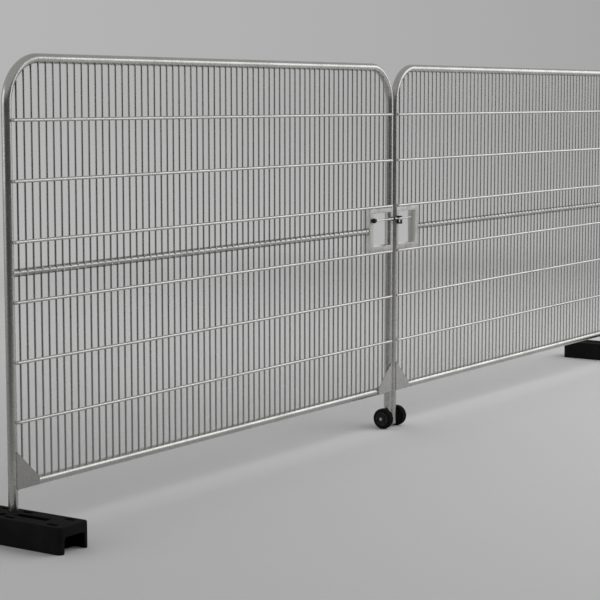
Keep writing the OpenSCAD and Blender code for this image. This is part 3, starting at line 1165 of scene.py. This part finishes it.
    def build_gussets(self) -> None:
        """Corner plates and the welds along their edges."""
        tip, edge, sunk, trim, steps, waves = 0.03, 0.003, 0.0006, 0.04, 60, 150.0
        welds = []
        # The outer gusset is painted in the darker, shaded copy of the zinc.
        for name, zinc in (("inner_gusset", STEEL), ("outer_gusset", SHADED_ZINC)):
            low, high = self.local(name)
            corners = np.array([(low[0], low[2]), (high[0], low[2]),
                                (high[0], low[2] + tip), (low[0], high[2])])
            if name == "outer_gusset":
                corners[:, 0] = low[0] + high[0] - corners[:, 0]
            plate = prism(rounded_loop(corners, edge), low[1], high[1], (0, 2, 1))
            self.piece(name, plate, zinc, bevel=Bevel(0.0008, 2))
            post_u, tip_u = corners[:2, 0]
            y = high[1] - sunk
            for end in ((post_u, y, high[2]), (tip_u, y, low[2])):
                welds.append(seam((post_u, y, low[2]), end, trim, steps, waves))
        self.piece("gusset_welds", joined(welds), WELD, stands_for=())

    def build_lock_box(self) -> None:
        """The folded lock box with its windows.

        The sheet is a function of s along the fold and of z.  The fold runs
        along the front flange, round a bend, across the web, round a second
        bend and back along the rear flange.
        """
        sheet, bend, bend_steps = 0.003, 0.005, 6
        border_in, border_back, border_web, border_top, border_low = 0.021, 0.008, 0.037, 0.0255, 0.028
        low, high = self.box_low, self.box_high
        flange_y = high[1] - sheet / 2
        web_u = high[0] - sheet / 2
        window_u = high[0] - border_web
        window_z = (low[2] + border_low, high[2] - border_top)
        arc = np.linspace(0.0, math.pi / 2, bend_steps)[1:]
        turn = np.stack((web_u - bend + bend * np.sin(arc), -flange_y + bend - bend * np.cos(arc)), -1)
        halves = []
        for border in (border_in, border_back):
            flat = np.array([low[0], low[0] + border, window_u, web_u - bend])
            flange = np.stack((flat, np.full(len(flat), -flange_y)), -1)
            halves.append(np.concatenate([flange, turn]))
        fold = np.concatenate([halves[0], halves[1][::-1] * (1, -1)])
        z = np.array([low[2], *window_z, high[2]])
        points = spots(fold[:, :1], fold[:, 1:], z[None])
        surface = grid(points)
        centre = points.reshape(-1, 3)[surface.quads].mean(1)
        border = np.where(centre[:, 1] < 0.0, border_in, border_back)
        inside = ((centre[:, 0] > low[0] + border) & (centre[:, 0] < window_u)
                  & (centre[:, 2] > window_z[0]) & (centre[:, 2] < window_z[1]))
        surface.quads = surface.quads[~inside]
        self.piece("lock_box", surface, PLATE, sheet=sheet, bevel=Bevel(0.0004, 2), sharp=50.0)
        trim, steps, waves = 0.03, 70, 170.0
        seams = [seam((low[0], y, low[2]), (low[0], y, high[2]), trim, steps, waves)
                 for y in (-self.tube_r, self.tube_r)]
        self.piece("box_welds", joined(seams), WELD, stands_for=())


@dataclass
class Wheel:
    """A free post's wheel with its axle, spacer, washer and nut.

    Attributes:
        leaf: The leaf that it carries.
        steps: Points round the tyre.
        ribs: Ribs in the face of the wheel centre.
        slack: Clearance of the bush on the axle.
        fit: Clearance of what else sits on the axle.
    """

    leaf: Leaf
    steps: int = 72
    ribs: int = 6
    slack: float = 0.0003
    fit: float = 0.0001

    def build(self) -> None:
        """Makes the axle's pieces and the wheel's."""
        self.body = self.leaf.side.node("wheel")
        nut = self.leaf.local("axle_nut")
        self.build_axle(nut[0][0])
        self.ring("axle_spacer", 0.0006, BRIGHT)
        self.ring("axle_washer", 0.0005, PAINT)
        self.build_nut(nut)
        self.build_tyre()
        self.build_centre()
        bush = self.leaf.local("wheel_bush")
        profile = ring_stations(bush[0][0], bush[1][0], self.axle_r + self.slack, half(bush, 2), 0.0006)
        self.turned("wheel_bush", lathe(np.array(profile), 48), NYLON, self.body)

    def build_axle(self, nut_u: float) -> None:
        """Axle with a broken head edge and a thread under the nut.

        Args:
            nut_u: Place of the nut's near face along u.
        """
        axle = low, high = self.leaf.local("axle")
        self.axle_r, self.centre_z = half(axle, 2), middle(axle, 2)
        turns, groove, head, point = 33, 0.0004, 0.0008, 0.0016
        thread = np.linspace(nut_u - 0.004, high[0] - 0.0015, turns)
        ridge = self.axle_r - groove * (np.arange(turns) % 2)
        shank = np.array([(low[0], self.axle_r - head), (low[0] + head, self.axle_r),
                          (nut_u - 0.005, self.axle_r)])
        end = np.array([(high[0], self.axle_r - point)])
        rod = np.concatenate([shank, np.stack((thread, ridge), -1), end])
        self.turned("axle", lathe(rod, 40, closed=False), NUT)

    def turned(self, name: str, surface: Patch, finish: Finish, body: str | None = None) -> None:
        """Sets a turned surface on the axle's line."""
        self.leaf.piece(name, surface.moved((0.0, 0.0, self.centre_z)), finish, body=body, sharp=40.0)

    def ring(self, name: str, edge: float, finish: Finish) -> None:
        """A plain ring round the axle in the place of its node.

        Args:
            name: The ring's name without its side.
            edge: Width of its broken edges.
            finish: Its material.
        """
        span = self.leaf.local(name)
        profile = ring_stations(span[0][0], span[1][0], self.axle_r + self.fit, half(span, 2), edge)
        self.turned(name, lathe(np.array(profile), 48), finish)

    def build_nut(self, span: Span) -> None:
        """Hexagon nut whose corners are chamfered at both faces.

        The outline is r(a) = apothem / cos(a mod 60 - 30 degrees).

        Args:
            span: The nut's box.
        """
        low, high = span
        apothem = half(span, 1)
        steps, chamfer, face_share = 96, 0.0018, 0.97
        angle = circle(steps)
        hexagon = apothem / np.cos(np.mod(angle, math.pi / 3) - math.pi / 6)
        face = np.minimum(hexagon, apothem * face_share)
        bore = np.full(steps, self.axle_r + self.fit)
        stations = [(low[0], bore), (low[0], face), (low[0] + chamfer, hexagon),
                    (high[0] - chamfer, hexagon), (high[0], face), (high[0], bore)]
        profile = np.stack([np.stack((np.full(steps, at), radius), -1) for at, radius in stations])
        self.turned("axle_nut", lathe(profile, steps), NUT)

    def build_tyre(self) -> None:
        """Solid tyre with round shoulders and tread grooves."""
        tyre = low, high = self.leaf.local("tyre")
        outer, inner = half(tyre, 2), half(self.leaf.local("wheel_centre"), 2)
        shoulder, groove, groove_at, flange = 0.009, 0.0022, 0.0055, 0.0012
        arc = np.linspace(0.0, math.pi / 2, 8)
        left = np.stack((low[0] + shoulder * (1.0 - np.cos(arc)),
                         outer - shoulder * (1.0 - np.sin(arc))), -1)
        centre_u = middle(tyre, 0)
        cuts = ((-0.0018, 0.0), (-0.0012, groove), (0.0012, groove), (0.0018, 0.0))
        tread = np.array([(centre_u + side * groove_at + d, outer - cut)
                          for side in (-1, 1) for d, cut in cuts])
        right = left[::-1] * (-1, 1) + (low[0] + high[0], 0)
        wall = np.array([(low[0], inner + 0.006), (low[0] + flange, inner + 0.005),
                         (low[0] + flange, inner)])
        other = wall * (-1, 1) + (low[0] + high[0], 0)
        profile = np.concatenate([wall[::-1], left, tread, right, other])
        self.turned("tyre", lathe(profile, self.steps), TYRE, self.body)

    def build_centre(self) -> None:
        """Wheel centre with a dish and ribs in both faces.

        The face is a function of radius and angle: its depth is the dish's,
        less a rib wherever cos(ribs * a) is near one.
        """
        centre = low, high = self.leaf.local("wheel_centre")
        outer, inner = half(centre, 2), half(self.leaf.local("wheel_bush"), 2) + self.fit
        steps, dish, rim, hub, lift = 144, 0.008, 0.005, 0.017, 0.7
        rib = np.clip((np.cos(self.ribs * circle(steps)) - 0.86) / 0.06, 0.0, 1.0)
        lip = outer - rim
        radius = np.array([inner, hub - 0.001, hub, hub + 0.0015, lip - 0.0015, lip, lip + 0.001, outer])
        depth = np.array([0.0, 0.0, 0.001, dish, dish, 0.001, 0.0, 0.0])
        sunk = depth[:, None] * (1.0 - lift * rib[None, :] * (depth[:, None] > 0.002))
        around = np.repeat(radius[:, None], steps, 1)
        near, far = (np.stack((at, around), -1) for at in (low[0] + sunk, high[0] - sunk))
        self.turned("wheel_centre", lathe(np.concatenate([near, far[::-1]]), steps), PLASTIC, self.body)


@dataclass
class SlideBolt:
    """The bolt across the middle: rod, knob, stop pin, guides and keeper.

    Attributes:
        knob_flutes: Flutes round the knob.
        steps: Points round the knob.
    """

    knob_flutes: int = 14
    steps: int = 84

    def build(self) -> None:
        """Makes the bolt's pieces."""
        rod_box = low, high = box_of("bolt_rod")
        self.axis = np.array((0.0, middle(rod_box, 1), middle(rod_box, 2)))
        self.rod_r = half(rod_box, 2)
        nose = np.array([(low[0], self.rod_r - 0.001), (low[0] + 0.001, self.rod_r),
                         (high[0] - 0.006, self.rod_r), (high[0] - 0.003, self.rod_r * 0.8),
                         (high[0] - 0.001, self.rod_r * 0.58), (high[0], self.rod_r * 0.4)])
        rod = lathe(nose, 32, closed=False).moved(self.axis)
        make_piece("bolt_rod", rod, BRIGHT, "lock_bolt", ["bolt_rod"])
        self.build_knob()
        self.build_pin()
        for name in ("post_guide", "knob_guide"):
            self.build_guide(name)
        self.build_keeper()

    def build_knob(self) -> None:
        """Turned knob with shallow flutes round its grip.

        The radius is the profile's, less flute * (1 - cos(n a)) / 2 on the grip.
        """
        knob_box = low, high = box_of("bolt_knob")
        outer, length, flute = half(knob_box, 2), high[0] - low[0], 0.0011
        share = np.array([0.0, 0.0, 0.03, 0.1, 0.2, 0.32, 0.68, 0.8, 0.9, 0.97, 1.0, 1.0])
        bore = self.rod_r / outer + 0.01
        radius = np.array([0.3, 0.62, 0.78, 0.93, 0.99, 1.0, 1.0, 0.99, 0.9, 0.74, 0.62, bore])
        grip = np.clip((radius - 0.85) / 0.14, 0.0, 1.0)
        angle = circle(self.steps)
        wave = flute * (1.0 - np.cos(self.knob_flutes * angle)) / 2
        around = outer * radius[:, None] - grip[:, None] * wave[None, :]
        profile = np.stack((np.repeat((low[0] + share * length)[:, None], self.steps, 1), around), -1)
        knob = lathe(profile, self.steps, closed=False).moved(self.axis)
        make_piece("bolt_knob", knob, PLASTIC, "lock_bolt", ["bolt_knob"], sharp=60.0)

    def build_pin(self) -> None:
        """Stop pin across the rod with rounded ends."""
        pin = low, high = box_of("bolt_stop_pin")
        nip, soft = 0.0005, 0.0014
        z = np.array([low[2], low[2] + nip, low[2] + soft, high[2] - soft, high[2] - nip, high[2]])
        taper = half(pin, 0) * np.array([0.6, 0.88, 1.0, 1.0, 0.88, 0.6])
        line = spots(middle(pin, 0), self.axis[1], z)
        make_piece("bolt_stop_pin", tube(line, taper, ALONG, 20), BRIGHT, "lock_bolt", ["bolt_stop_pin"])

    def build_guide(self, name: str) -> None:
        """Guide block: round at the front, square at the back, with the rod's bore.

        The outline's radius is R at the front and, at the back, that of the
        square that reaches the lock box.

        Args:
            name: The guide's name.
        """
        guide = low, high = box_of(name)
        slack, edge = 0.0003, 0.0012
        reach, depth = half(guide, 2), high[1] - self.axis[1]
        corner = math.atan2(reach, depth)
        angle = np.unique(np.concatenate([np.linspace(-math.pi, math.pi, 65)[:-1], [corner, -corner]]))
        c, s = np.cos(angle), np.sin(angle)
        square = np.minimum(depth / np.maximum(c, TINY), reach / np.maximum(np.abs(s), TINY))
        outer = np.where(c > 0, square, reach)
        inner = np.full(len(angle), self.rod_r + slack)
        rings = np.stack([spots(x, self.axis[1] + r * c, self.axis[2] + r * s)
                          for x, r in ring_stations(low[0], high[0], inner, outer, edge)])
        make_piece(name, grid(rings, wrap_u=True, wrap_v=True), PAINT, "left_leaf", [name], sharp=40.0)

    def build_keeper(self) -> None:
        """Hooked keeper: a plate outline with a mouth in its front."""
        low, high = box_of("keeper")
        bar, slack, well, seat = 0.007, 0.0012, 0.023, 0.0005
        mouth = self.rod_r + slack
        y0, y1, y2 = low[1], low[1] + bar, self.axis[1] + self.rod_r + seat
        z = self.axis[2]
        outline = np.array([(high[1], low[2]), (y0, low[2]), (y0, z - mouth), (y1, z - mouth),
                            (y1, z - well), (y2, z - well), (y2, z + mouth), (y0, z + mouth),
                            (y0, high[2]), (high[1], high[2])])
        plate = prism(rounded_loop(outline, 0.0022), low[0], high[0], (1, 2, 0))
        make_piece("keeper", plate, PAINT, "right_leaf", ["keeper"], bevel=Bevel(0.0012, 3), sharp=40.0)


@dataclass
class Foot:
    """Rubber block foot with hand holds, pockets, slots and two post sockets.

    Attributes:
        side: The foot's side of the gate.
        corner: Radius of the upright corners.
        edge: Radius of the top edge.
        hold: Half width, height, corner radius and depth of a hand hold.
        pocket: Half width, half length, middle and depth of a long pocket.
        slot: Half width, half length and depth of a short slot.
        slot_at: Distance of the short slots from the middle, across and along at two places.
        socket: Distance of a socket from the middle, its radius and its floor.
        draft: Width over which a hand hold's side rises.
        slope: Width over which a recess's side falls.
        rim: Width and fall of the worn edge round a recess.
    """

    side: Side
    corner: float = 0.022
    edge: float = 0.007
    hold: tuple[float, float, float, float] = (0.065, 0.07, 0.016, 0.062)
    pocket: tuple[float, float, float, float] = (0.019, 0.087, 0.139, 0.03)
    slot: tuple[float, float, float] = (0.012, 0.028, 0.016)
    slot_at: tuple[float, float, float] = (0.054, 0.06, 0.292)
    socket: tuple[float, float, float] = (0.035, 0.02175, 0.0157)
    draft: float = 0.002
    slope: float = 0.003
    rim: tuple[float, float] = (0.0025, 0.0008)

    def build(self) -> None:
        """Makes the block and the collars of its sockets."""
        name = self.side.node("foot")
        box = box_of(name)
        self.middle = np.array((middle(box, 0), 0.0, 0.0))
        self.half = half(box, 0), half(box, 1)
        self.top = box[1][2]
        make_piece(name, self.block().moved(self.middle), FOOT, "feet", [name], sharp=30.0)
        collars = joined([self.collar().moved(self.middle + (x * self.socket[0], 0.0, 0.0))
                          for x in (-1, 1)])
        make_piece(self.side.node("foot_collars"), collars, FOOT, "feet", sharp=40.0)

    def recesses(self) -> list[tuple[float, float, float, float, float]]:
        """Middle, half sizes and depth of each recess in the top.

        Returns:
            Place along X and Y, half sizes and depth of each.
        """
        across, inner, outer = self.slot_at
        out = [(0.0, y * self.pocket[2], self.pocket[0], self.pocket[1], self.pocket[3]) for y in (-1, 1)]
        out += [(x * across, y, *self.slot) for x in (-1, 1) for y in (-outer, -inner, inner, outer)]
        pit, depth = self.socket[1] + 0.002, 0.02
        out += [(x * self.socket[0], 0.0, pit, pit, depth) for x in (-1, 1)]
        return out

    def lines(self, index: int) -> np.ndarray:
        """Grid lines across or along the foot: at every edge and evenly between.

        Args:
            index: 0 for places along X, 1 for places along Y.

        Returns:
            The places in order.
        """
        counts, arc_steps, close = (17, 61), 7, 2e-4
        limit = self.half[index] - self.edge
        flat = limit - (self.corner - self.edge)
        steps = [np.linspace(-flat, flat, counts[index])]
        steps.append(np.concatenate([sign * np.linspace(flat, limit, arc_steps) for sign in (-1, 1)]))
        for item in self.recesses():
            centre, size = item[index], item[index + 2]
            reach = np.array([size + self.rim[0], size, size - self.slope / 3, size - self.slope])
            steps += [centre + reach, centre - reach]
        if index == 0:
            wide, _, radius, _ = self.hold
            turn = np.linspace(0.0, math.pi / 2, arc_steps)
            arc = wide - self.draft - radius + radius * np.cos(turn)
            steps += [sign * np.append(arc, wide) for sign in (-1, 1)]
        found = np.sort(np.concatenate(steps))
        keep = np.append(True, np.diff(found) > close)
        return found[keep]

    def height(self, x: np.ndarray, y: np.ndarray) -> np.ndarray:
        """Height of the top: flat, less each recess with its rounded rim.

        A recess is depth * smoothstep of how far inside its edge a point lies,
        and its worn edge drops by a square law.

        Args:
            x: Places along X.
            y: Places along Y.

        Returns:
            The height at each.
        """
        z = np.full(x.shape, self.top)
        for mx, my, hx, hy, depth in self.recesses():
            outside = np.maximum(np.abs(x - mx) - hx, np.abs(y - my) - hy)
            t = np.clip(-outside / self.slope, 0.0, 1.0)
            worn = np.clip(1.0 - outside / self.rim[0], 0.0, 1.0)
            z = np.minimum(z, self.top - self.rim[1] * worn ** 2 - depth * t * t * (3.0 - 2.0 * t))
        return z

    def arch(self, x: np.ndarray) -> np.ndarray:
        """Height of a hand hold's edge at x, 0 outside it.

        Args:
            x: Places along X.

        Returns:
            The height at each.
        """
        wide, tall, radius, _ = self.hold
        inward = wide - np.abs(x)
        wall = (tall - radius) * np.clip(inward / self.draft, 0.0, 1.0)
        bend = np.clip(1.0 - (inward - self.draft) / radius, 0.0, 1.0)
        arc = radius * np.sqrt(1.0 - bend ** 2) * (inward >= self.draft)
        return np.where(inward > 0.0, wall + arc, 0.0)

    def block(self) -> Patch:
        """The whole block as one closed surface.

        The top is a height field on a grid whose corners are drawn onto arcs:
        a corner point (a, b) is scaled by max(a, b) / hypot(a, b).  The sides
        go down from the grid's border round the top edge's arc, to the ground
        or to the edge of a hand hold.

        Returns:
            The block about the foot's middle.
        """
        xs, ys = self.lines(0), self.lines(1)
        x, y = np.meshgrid(xs, ys, indexing="ij")
        z = self.height(x, y)
        radius = self.corner - self.edge
        flat = np.array(self.half) - self.corner
        a, b = np.maximum(np.abs(x) - flat[0], 0.0), np.maximum(np.abs(y) - flat[1], 0.0)
        pull = np.maximum(a, b) / np.maximum(np.hypot(a, b), 1e-9)
        both = (a > 0) & (b > 0)
        x = np.where(both, np.sign(x) * (flat[0] + a * pull), x)
        y = np.where(both, np.sign(y) * (flat[1] + b * pull), y)
        top = grid(np.stack((x, y, z), -1))
        level = np.stack((x, y), -1)
        border = np.concatenate([level[:, 0], level[-1, 1:], level[-2::-1, -1], level[0, -2:0:-1]])
        core = np.clip(border, -flat, flat)
        out = unit(border - core)
        on_end = np.abs(out[:, 1]) > 0.999
        foot_z = np.where(on_end, self.arch(border[:, 0]), 0.0)
        edge_steps = 6
        turn = np.linspace(0.0, math.pi / 2, edge_steps)
        levels = [(radius + self.edge * math.sin(t),
                   np.full(len(border), self.top - self.edge * (1 - math.cos(t)))) for t in turn]
        levels.append((self.corner, foot_z + 0.5 * (self.top - self.edge - foot_z)))
        levels.append((self.corner, foot_z))
        rings = np.stack([np.concatenate([core + r * out, h[:, None]], 1) for r, h in levels])
        sides = grid(rings, wrap_v=True)
        return joined([top, sides, self.underside(rings[-1])])

    def underside(self, rim: np.ndarray) -> Patch:
        """Ground face and hand holds below the block's lower edge.

        Args:
            rim: Points of the lower edge, in order.

        Returns:
            The ground face and the hand holds.
        """
        depth = self.hold[3]
        patches = []
        for sign in (-1, 1):
            on_end = np.abs(rim[:, 1] - sign * self.half[1]) < TINY
            near = rim[on_end & (np.abs(rim[:, 0]) <= self.hold[0] + TINY)]
            near = near[np.argsort(near[:, 0])]
            far = near - (0.0, sign * depth, 0.0)
            tunnel = grid(np.stack((near, far)))
            count = len(near)
            tunnel.caps = [list(range(count, 2 * count))]
            patches.append(tunnel)
        ground = rim[rim[:, 2] < TINY]
        turn = np.arctan2(ground[:, 1], ground[:, 0])
        ground = ground[np.argsort(turn)]
        jumps = np.where(np.abs(np.diff(ground[:, 0])) > 1.9 * self.hold[0])[0]
        pieces = []
        start = 0
        for jump in jumps:
            pieces.append(ground[start:jump + 1])
            inward = (0.0, np.sign(ground[jump, 1]) * depth, 0.0)
            pieces.append(ground[jump:jump + 2] - inward)
            start = jump + 1
        pieces.append(ground[start:])
        outline = np.concatenate(pieces)
        patches.append(Patch(outline, np.zeros((0, 4), int), [list(range(len(outline)))]))
        return joined(patches)

    def collar(self) -> Patch:
        """Rim and bore of a post socket, turned about the upright.

        Returns:
            The collar about its own middle.
        """
        _, radius, floor = self.socket
        rise, wide, drain, steps = 0.0016, 0.0325, 0.002, 64
        profile = np.array([(self.top - 0.004, wide + 0.001), (self.top + 0.0002, wide),
                            (self.top + rise, wide - 0.003), (self.top + rise, radius + 0.002),
                            (self.top, radius), (floor, radius), (floor, drain)])
        turned = lathe(profile, steps, closed=False)
        return Patch(turned.points[:, [1, 2, 0]], turned.quads, turned.caps[1:])


@dataclass(frozen=True)
class Lamp:
    """A soft rectangular lamp aimed at a point.

    Attributes:
        name: The lamp's name.
        place: Where it hangs.
        target: What it is aimed at.
        size: Its width and height.
        radiance: How bright its face looks.
        mirrored: It shows in shiny surfaces.
    """

    name: str
    place: tuple[float, float, float]
    target: tuple[float, float, float]
    size: tuple[float, float]
    radiance: float
    mirrored: bool = True

    def build(self) -> None:
        """Makes the lamp.  Its power is pi * area * radiance."""
        data = bpy.data.lights.new(self.name, "AREA")
        data.shape = "RECTANGLE"
        data.size, data.size_y = self.size
        data.energy = math.pi * self.size[0] * self.size[1] * self.radiance
        lamp = bpy.data.objects.new(self.name, data)
        lamp.location = self.place
        aim = Vector(self.target) - Vector(self.place)
        lamp.rotation_euler = aim.to_track_quat("-Z", "Y").to_euler()
        lamp.visible_camera = False
        lamp.visible_glossy = self.mirrored
        bpy.context.scene.collection.objects.link(lamp)


LAMPS = (
    Lamp("key", (3.0, -4.5, 5.5), (1.0, 0.0, 0.5), (8.0, 6.0), 2.3, mirrored=False),
    Lamp("back", (2.5, 7.0, 6.5), (2.0, 3.0, 0.0), (9.0, 5.0), 1.25, mirrored=False),
    Lamp("right_softbox", (10.7, -7.1, 4.8), (1.0, 0.0, 3.5), (13.0, 5.6), 1.6),
    Lamp("right_strip", (10.7, -7.1, 1.0), (1.0, 0.0, 1.0), (13.0, 2.0), 0.75),
    Lamp("left_softbox", (-11.0, 6.0, 3.6), (0.0, 0.0, 1.0), (9.0, 6.0), 1.0),
)


@dataclass
class Studio:
    """Camera, floor, backdrop and lights.

    Attributes:
        eye: The camera's place.
        tilt: Its pitch from straight down, in degrees.
        yaw: Its turn about the upright, in degrees.
        lens: Focal length in millimetres.
        sensor: Width of the camera's sensor in millimetres.
        sight: How far the camera sees.
        pale: Backdrop brightness in its brightest direction.
        dim: Backdrop brightness on the near side.
        pale_turn: Direction of the brightest backdrop from +X, in degrees.
        pale_reach: Cosines of the turn from it at which the backdrop is dim and pale.
        pale_least: How far a view of the backdrop goes from dim to pale on any side.
        ceiling: Brightness overhead.
        pale_top: Sines of the rise between which the backdrop turns into the ceiling.
        floor_colour: The floor's own colour.
        floor_middle: Middle of the floor that takes light and shadow.
        floor_fade: Distances from there over which it turns into the backdrop.
        floor_rings: Radii of the floor's rings of points.
        floor_steps: Points round each of them.
        floor_drop: How far the floor lies below the feet.
    """

    eye: tuple[float, float, float] = (-8.4516, -5.0424, 1.8178)
    tilt: float = 83.561
    yaw: float = -56.267
    lens: float = 107.554
    sensor: float = 36.0
    sight: float = 400.0
    pale: float = 0.47
    dim: float = 0.07
    ceiling: float = 0.48
    pale_turn: float = 82.0
    pale_reach: tuple[float, float] = (-0.35, 0.9)
    pale_least: float = 0.78
    pale_top: tuple[float, float] = (0.1, 0.42)
    floor_colour: Colour = (0.5, 0.5, 0.5)
    floor_middle: tuple[float, float, float] = (3.5, -1.5, 0.0)
    floor_fade: tuple[float, float] = (6.5, 11.0)
    floor_rings: tuple[float, ...] = (0.01, 4.0, 9.0, 14.0, 20.0, 30.0, 45.0, 90.0)
    floor_steps: int = 96
    floor_drop: float = 0.0002

    def build(self) -> None:
        """Makes the camera, the stage and the lights."""
        self.build_camera()
        self.build_world()
        self.build_floor()
        for lamp in LAMPS:
            lamp.build()

    def build_camera(self) -> None:
        """The camera at the photograph's viewing angle."""
        data = bpy.data.cameras.new("camera")
        data.lens = self.lens
        data.sensor_width = self.sensor
        data.clip_end = self.sight
        camera = bpy.data.objects.new("camera", data)
        camera.location = self.eye
        camera.rotation_euler = (math.radians(self.tilt), 0.0, math.radians(self.yaw))
        bpy.context.scene.collection.objects.link(camera)
        bpy.context.scene.camera = camera

    def backdrop(self, graph: Graph, direction: Value) -> Value:
        """Brightness of the surround in a direction: pale beyond the gate, dim on the near side.

        The dim side shows only as a reflection: a view of it is pale too.

        Args:
            graph: The nodes that it joins.
            direction: The direction looked in, of length one.

        Returns:
            dim + facing * (1 - above) * (pale - dim) + above * (ceiling - dim).
        """
        turn = math.radians(self.pale_turn)
        ahead = (math.cos(turn), math.sin(turn), 0.0)
        seen = graph.value("ShaderNodeLightPath", {}, {}, "Is Camera Ray")
        facing = graph.dot(direction, ahead).smooth(*self.pale_reach).at_least(seen * self.pale_least)
        above = graph.dot(direction, UP).smooth(*self.pale_top)
        return (self.dim + facing * (1.0 - above) * (self.pale - self.dim)
                + above * (self.ceiling - self.dim))

    def build_world(self) -> None:
        """A plain grey surround that is pale behind the gate."""
        world = bpy.data.worlds.new("surround")
        world.use_nodes = True
        bpy.context.scene.world = world
        graph = Graph(world.node_tree)
        direction = graph.value("ShaderNodeTexCoord", {}, {}, "Generated")
        light = self.backdrop(graph, direction)
        shader = graph.value("ShaderNodeBackground", {}, {"Color": light, "Strength": 1.0})
        graph.add("ShaderNodeOutputWorld", {}, {"Surface": shader})

    def build_floor(self) -> None:
        """A wide matt floor that fades into the backdrop far from the gate."""
        radius, angle = np.array(self.floor_rings)[:, None], circle(self.floor_steps)[None, :]
        points = spots(radius * np.cos(angle), radius * np.sin(angle), -self.floor_drop)
        surface = grid(points, wrap_v=True)
        surface.caps = [list(range(self.floor_steps))]
        mesh = bpy.data.meshes.new("floor")
        mesh.from_pydata(surface.points.tolist(), [], surface.quads.tolist() + surface.caps)
        floor = bpy.data.objects.new("floor", mesh)
        bpy.context.scene.collection.objects.link(floor)
        material = bpy.data.materials.new("studio_floor")
        material.use_nodes = True
        graph = Graph(material.node_tree)
        outward = graph.vector("SUBTRACT", graph.place(), self.floor_middle)
        reach = graph.value("ShaderNodeVectorMath", {"operation": "LENGTH"}, {0: outward}, "Value")
        light = self.backdrop(graph, graph.vector("NORMALIZE", outward))
        near = graph.value("ShaderNodeBsdfDiffuse", {}, {"Color": self.floor_colour})
        far = graph.value("ShaderNodeEmission", {}, {"Color": light, "Strength": 1.0})
        mixed = graph.value("ShaderNodeMixShader", {}, {0: reach.smooth(*self.floor_fade), 1: near, 2: far})
        graph.add("ShaderNodeOutputMaterial", {}, {"Surface": mixed})
        mesh.materials.append(material)


def main() -> None:
    """Builds the stage and every piece of the gate."""
    logging.basicConfig(level=logging.INFO, format="%(name)s: %(message)s")
    scene = bpy.context.scene
    scene.view_settings.view_transform = "Standard"
    Studio().build()
    for side in Side:
        leaf = Leaf(side)
        leaf.build()
        Wheel(leaf).build()
        Foot(side).build()
    SlideBolt().build()


if __name__ == "__main__":
    main()
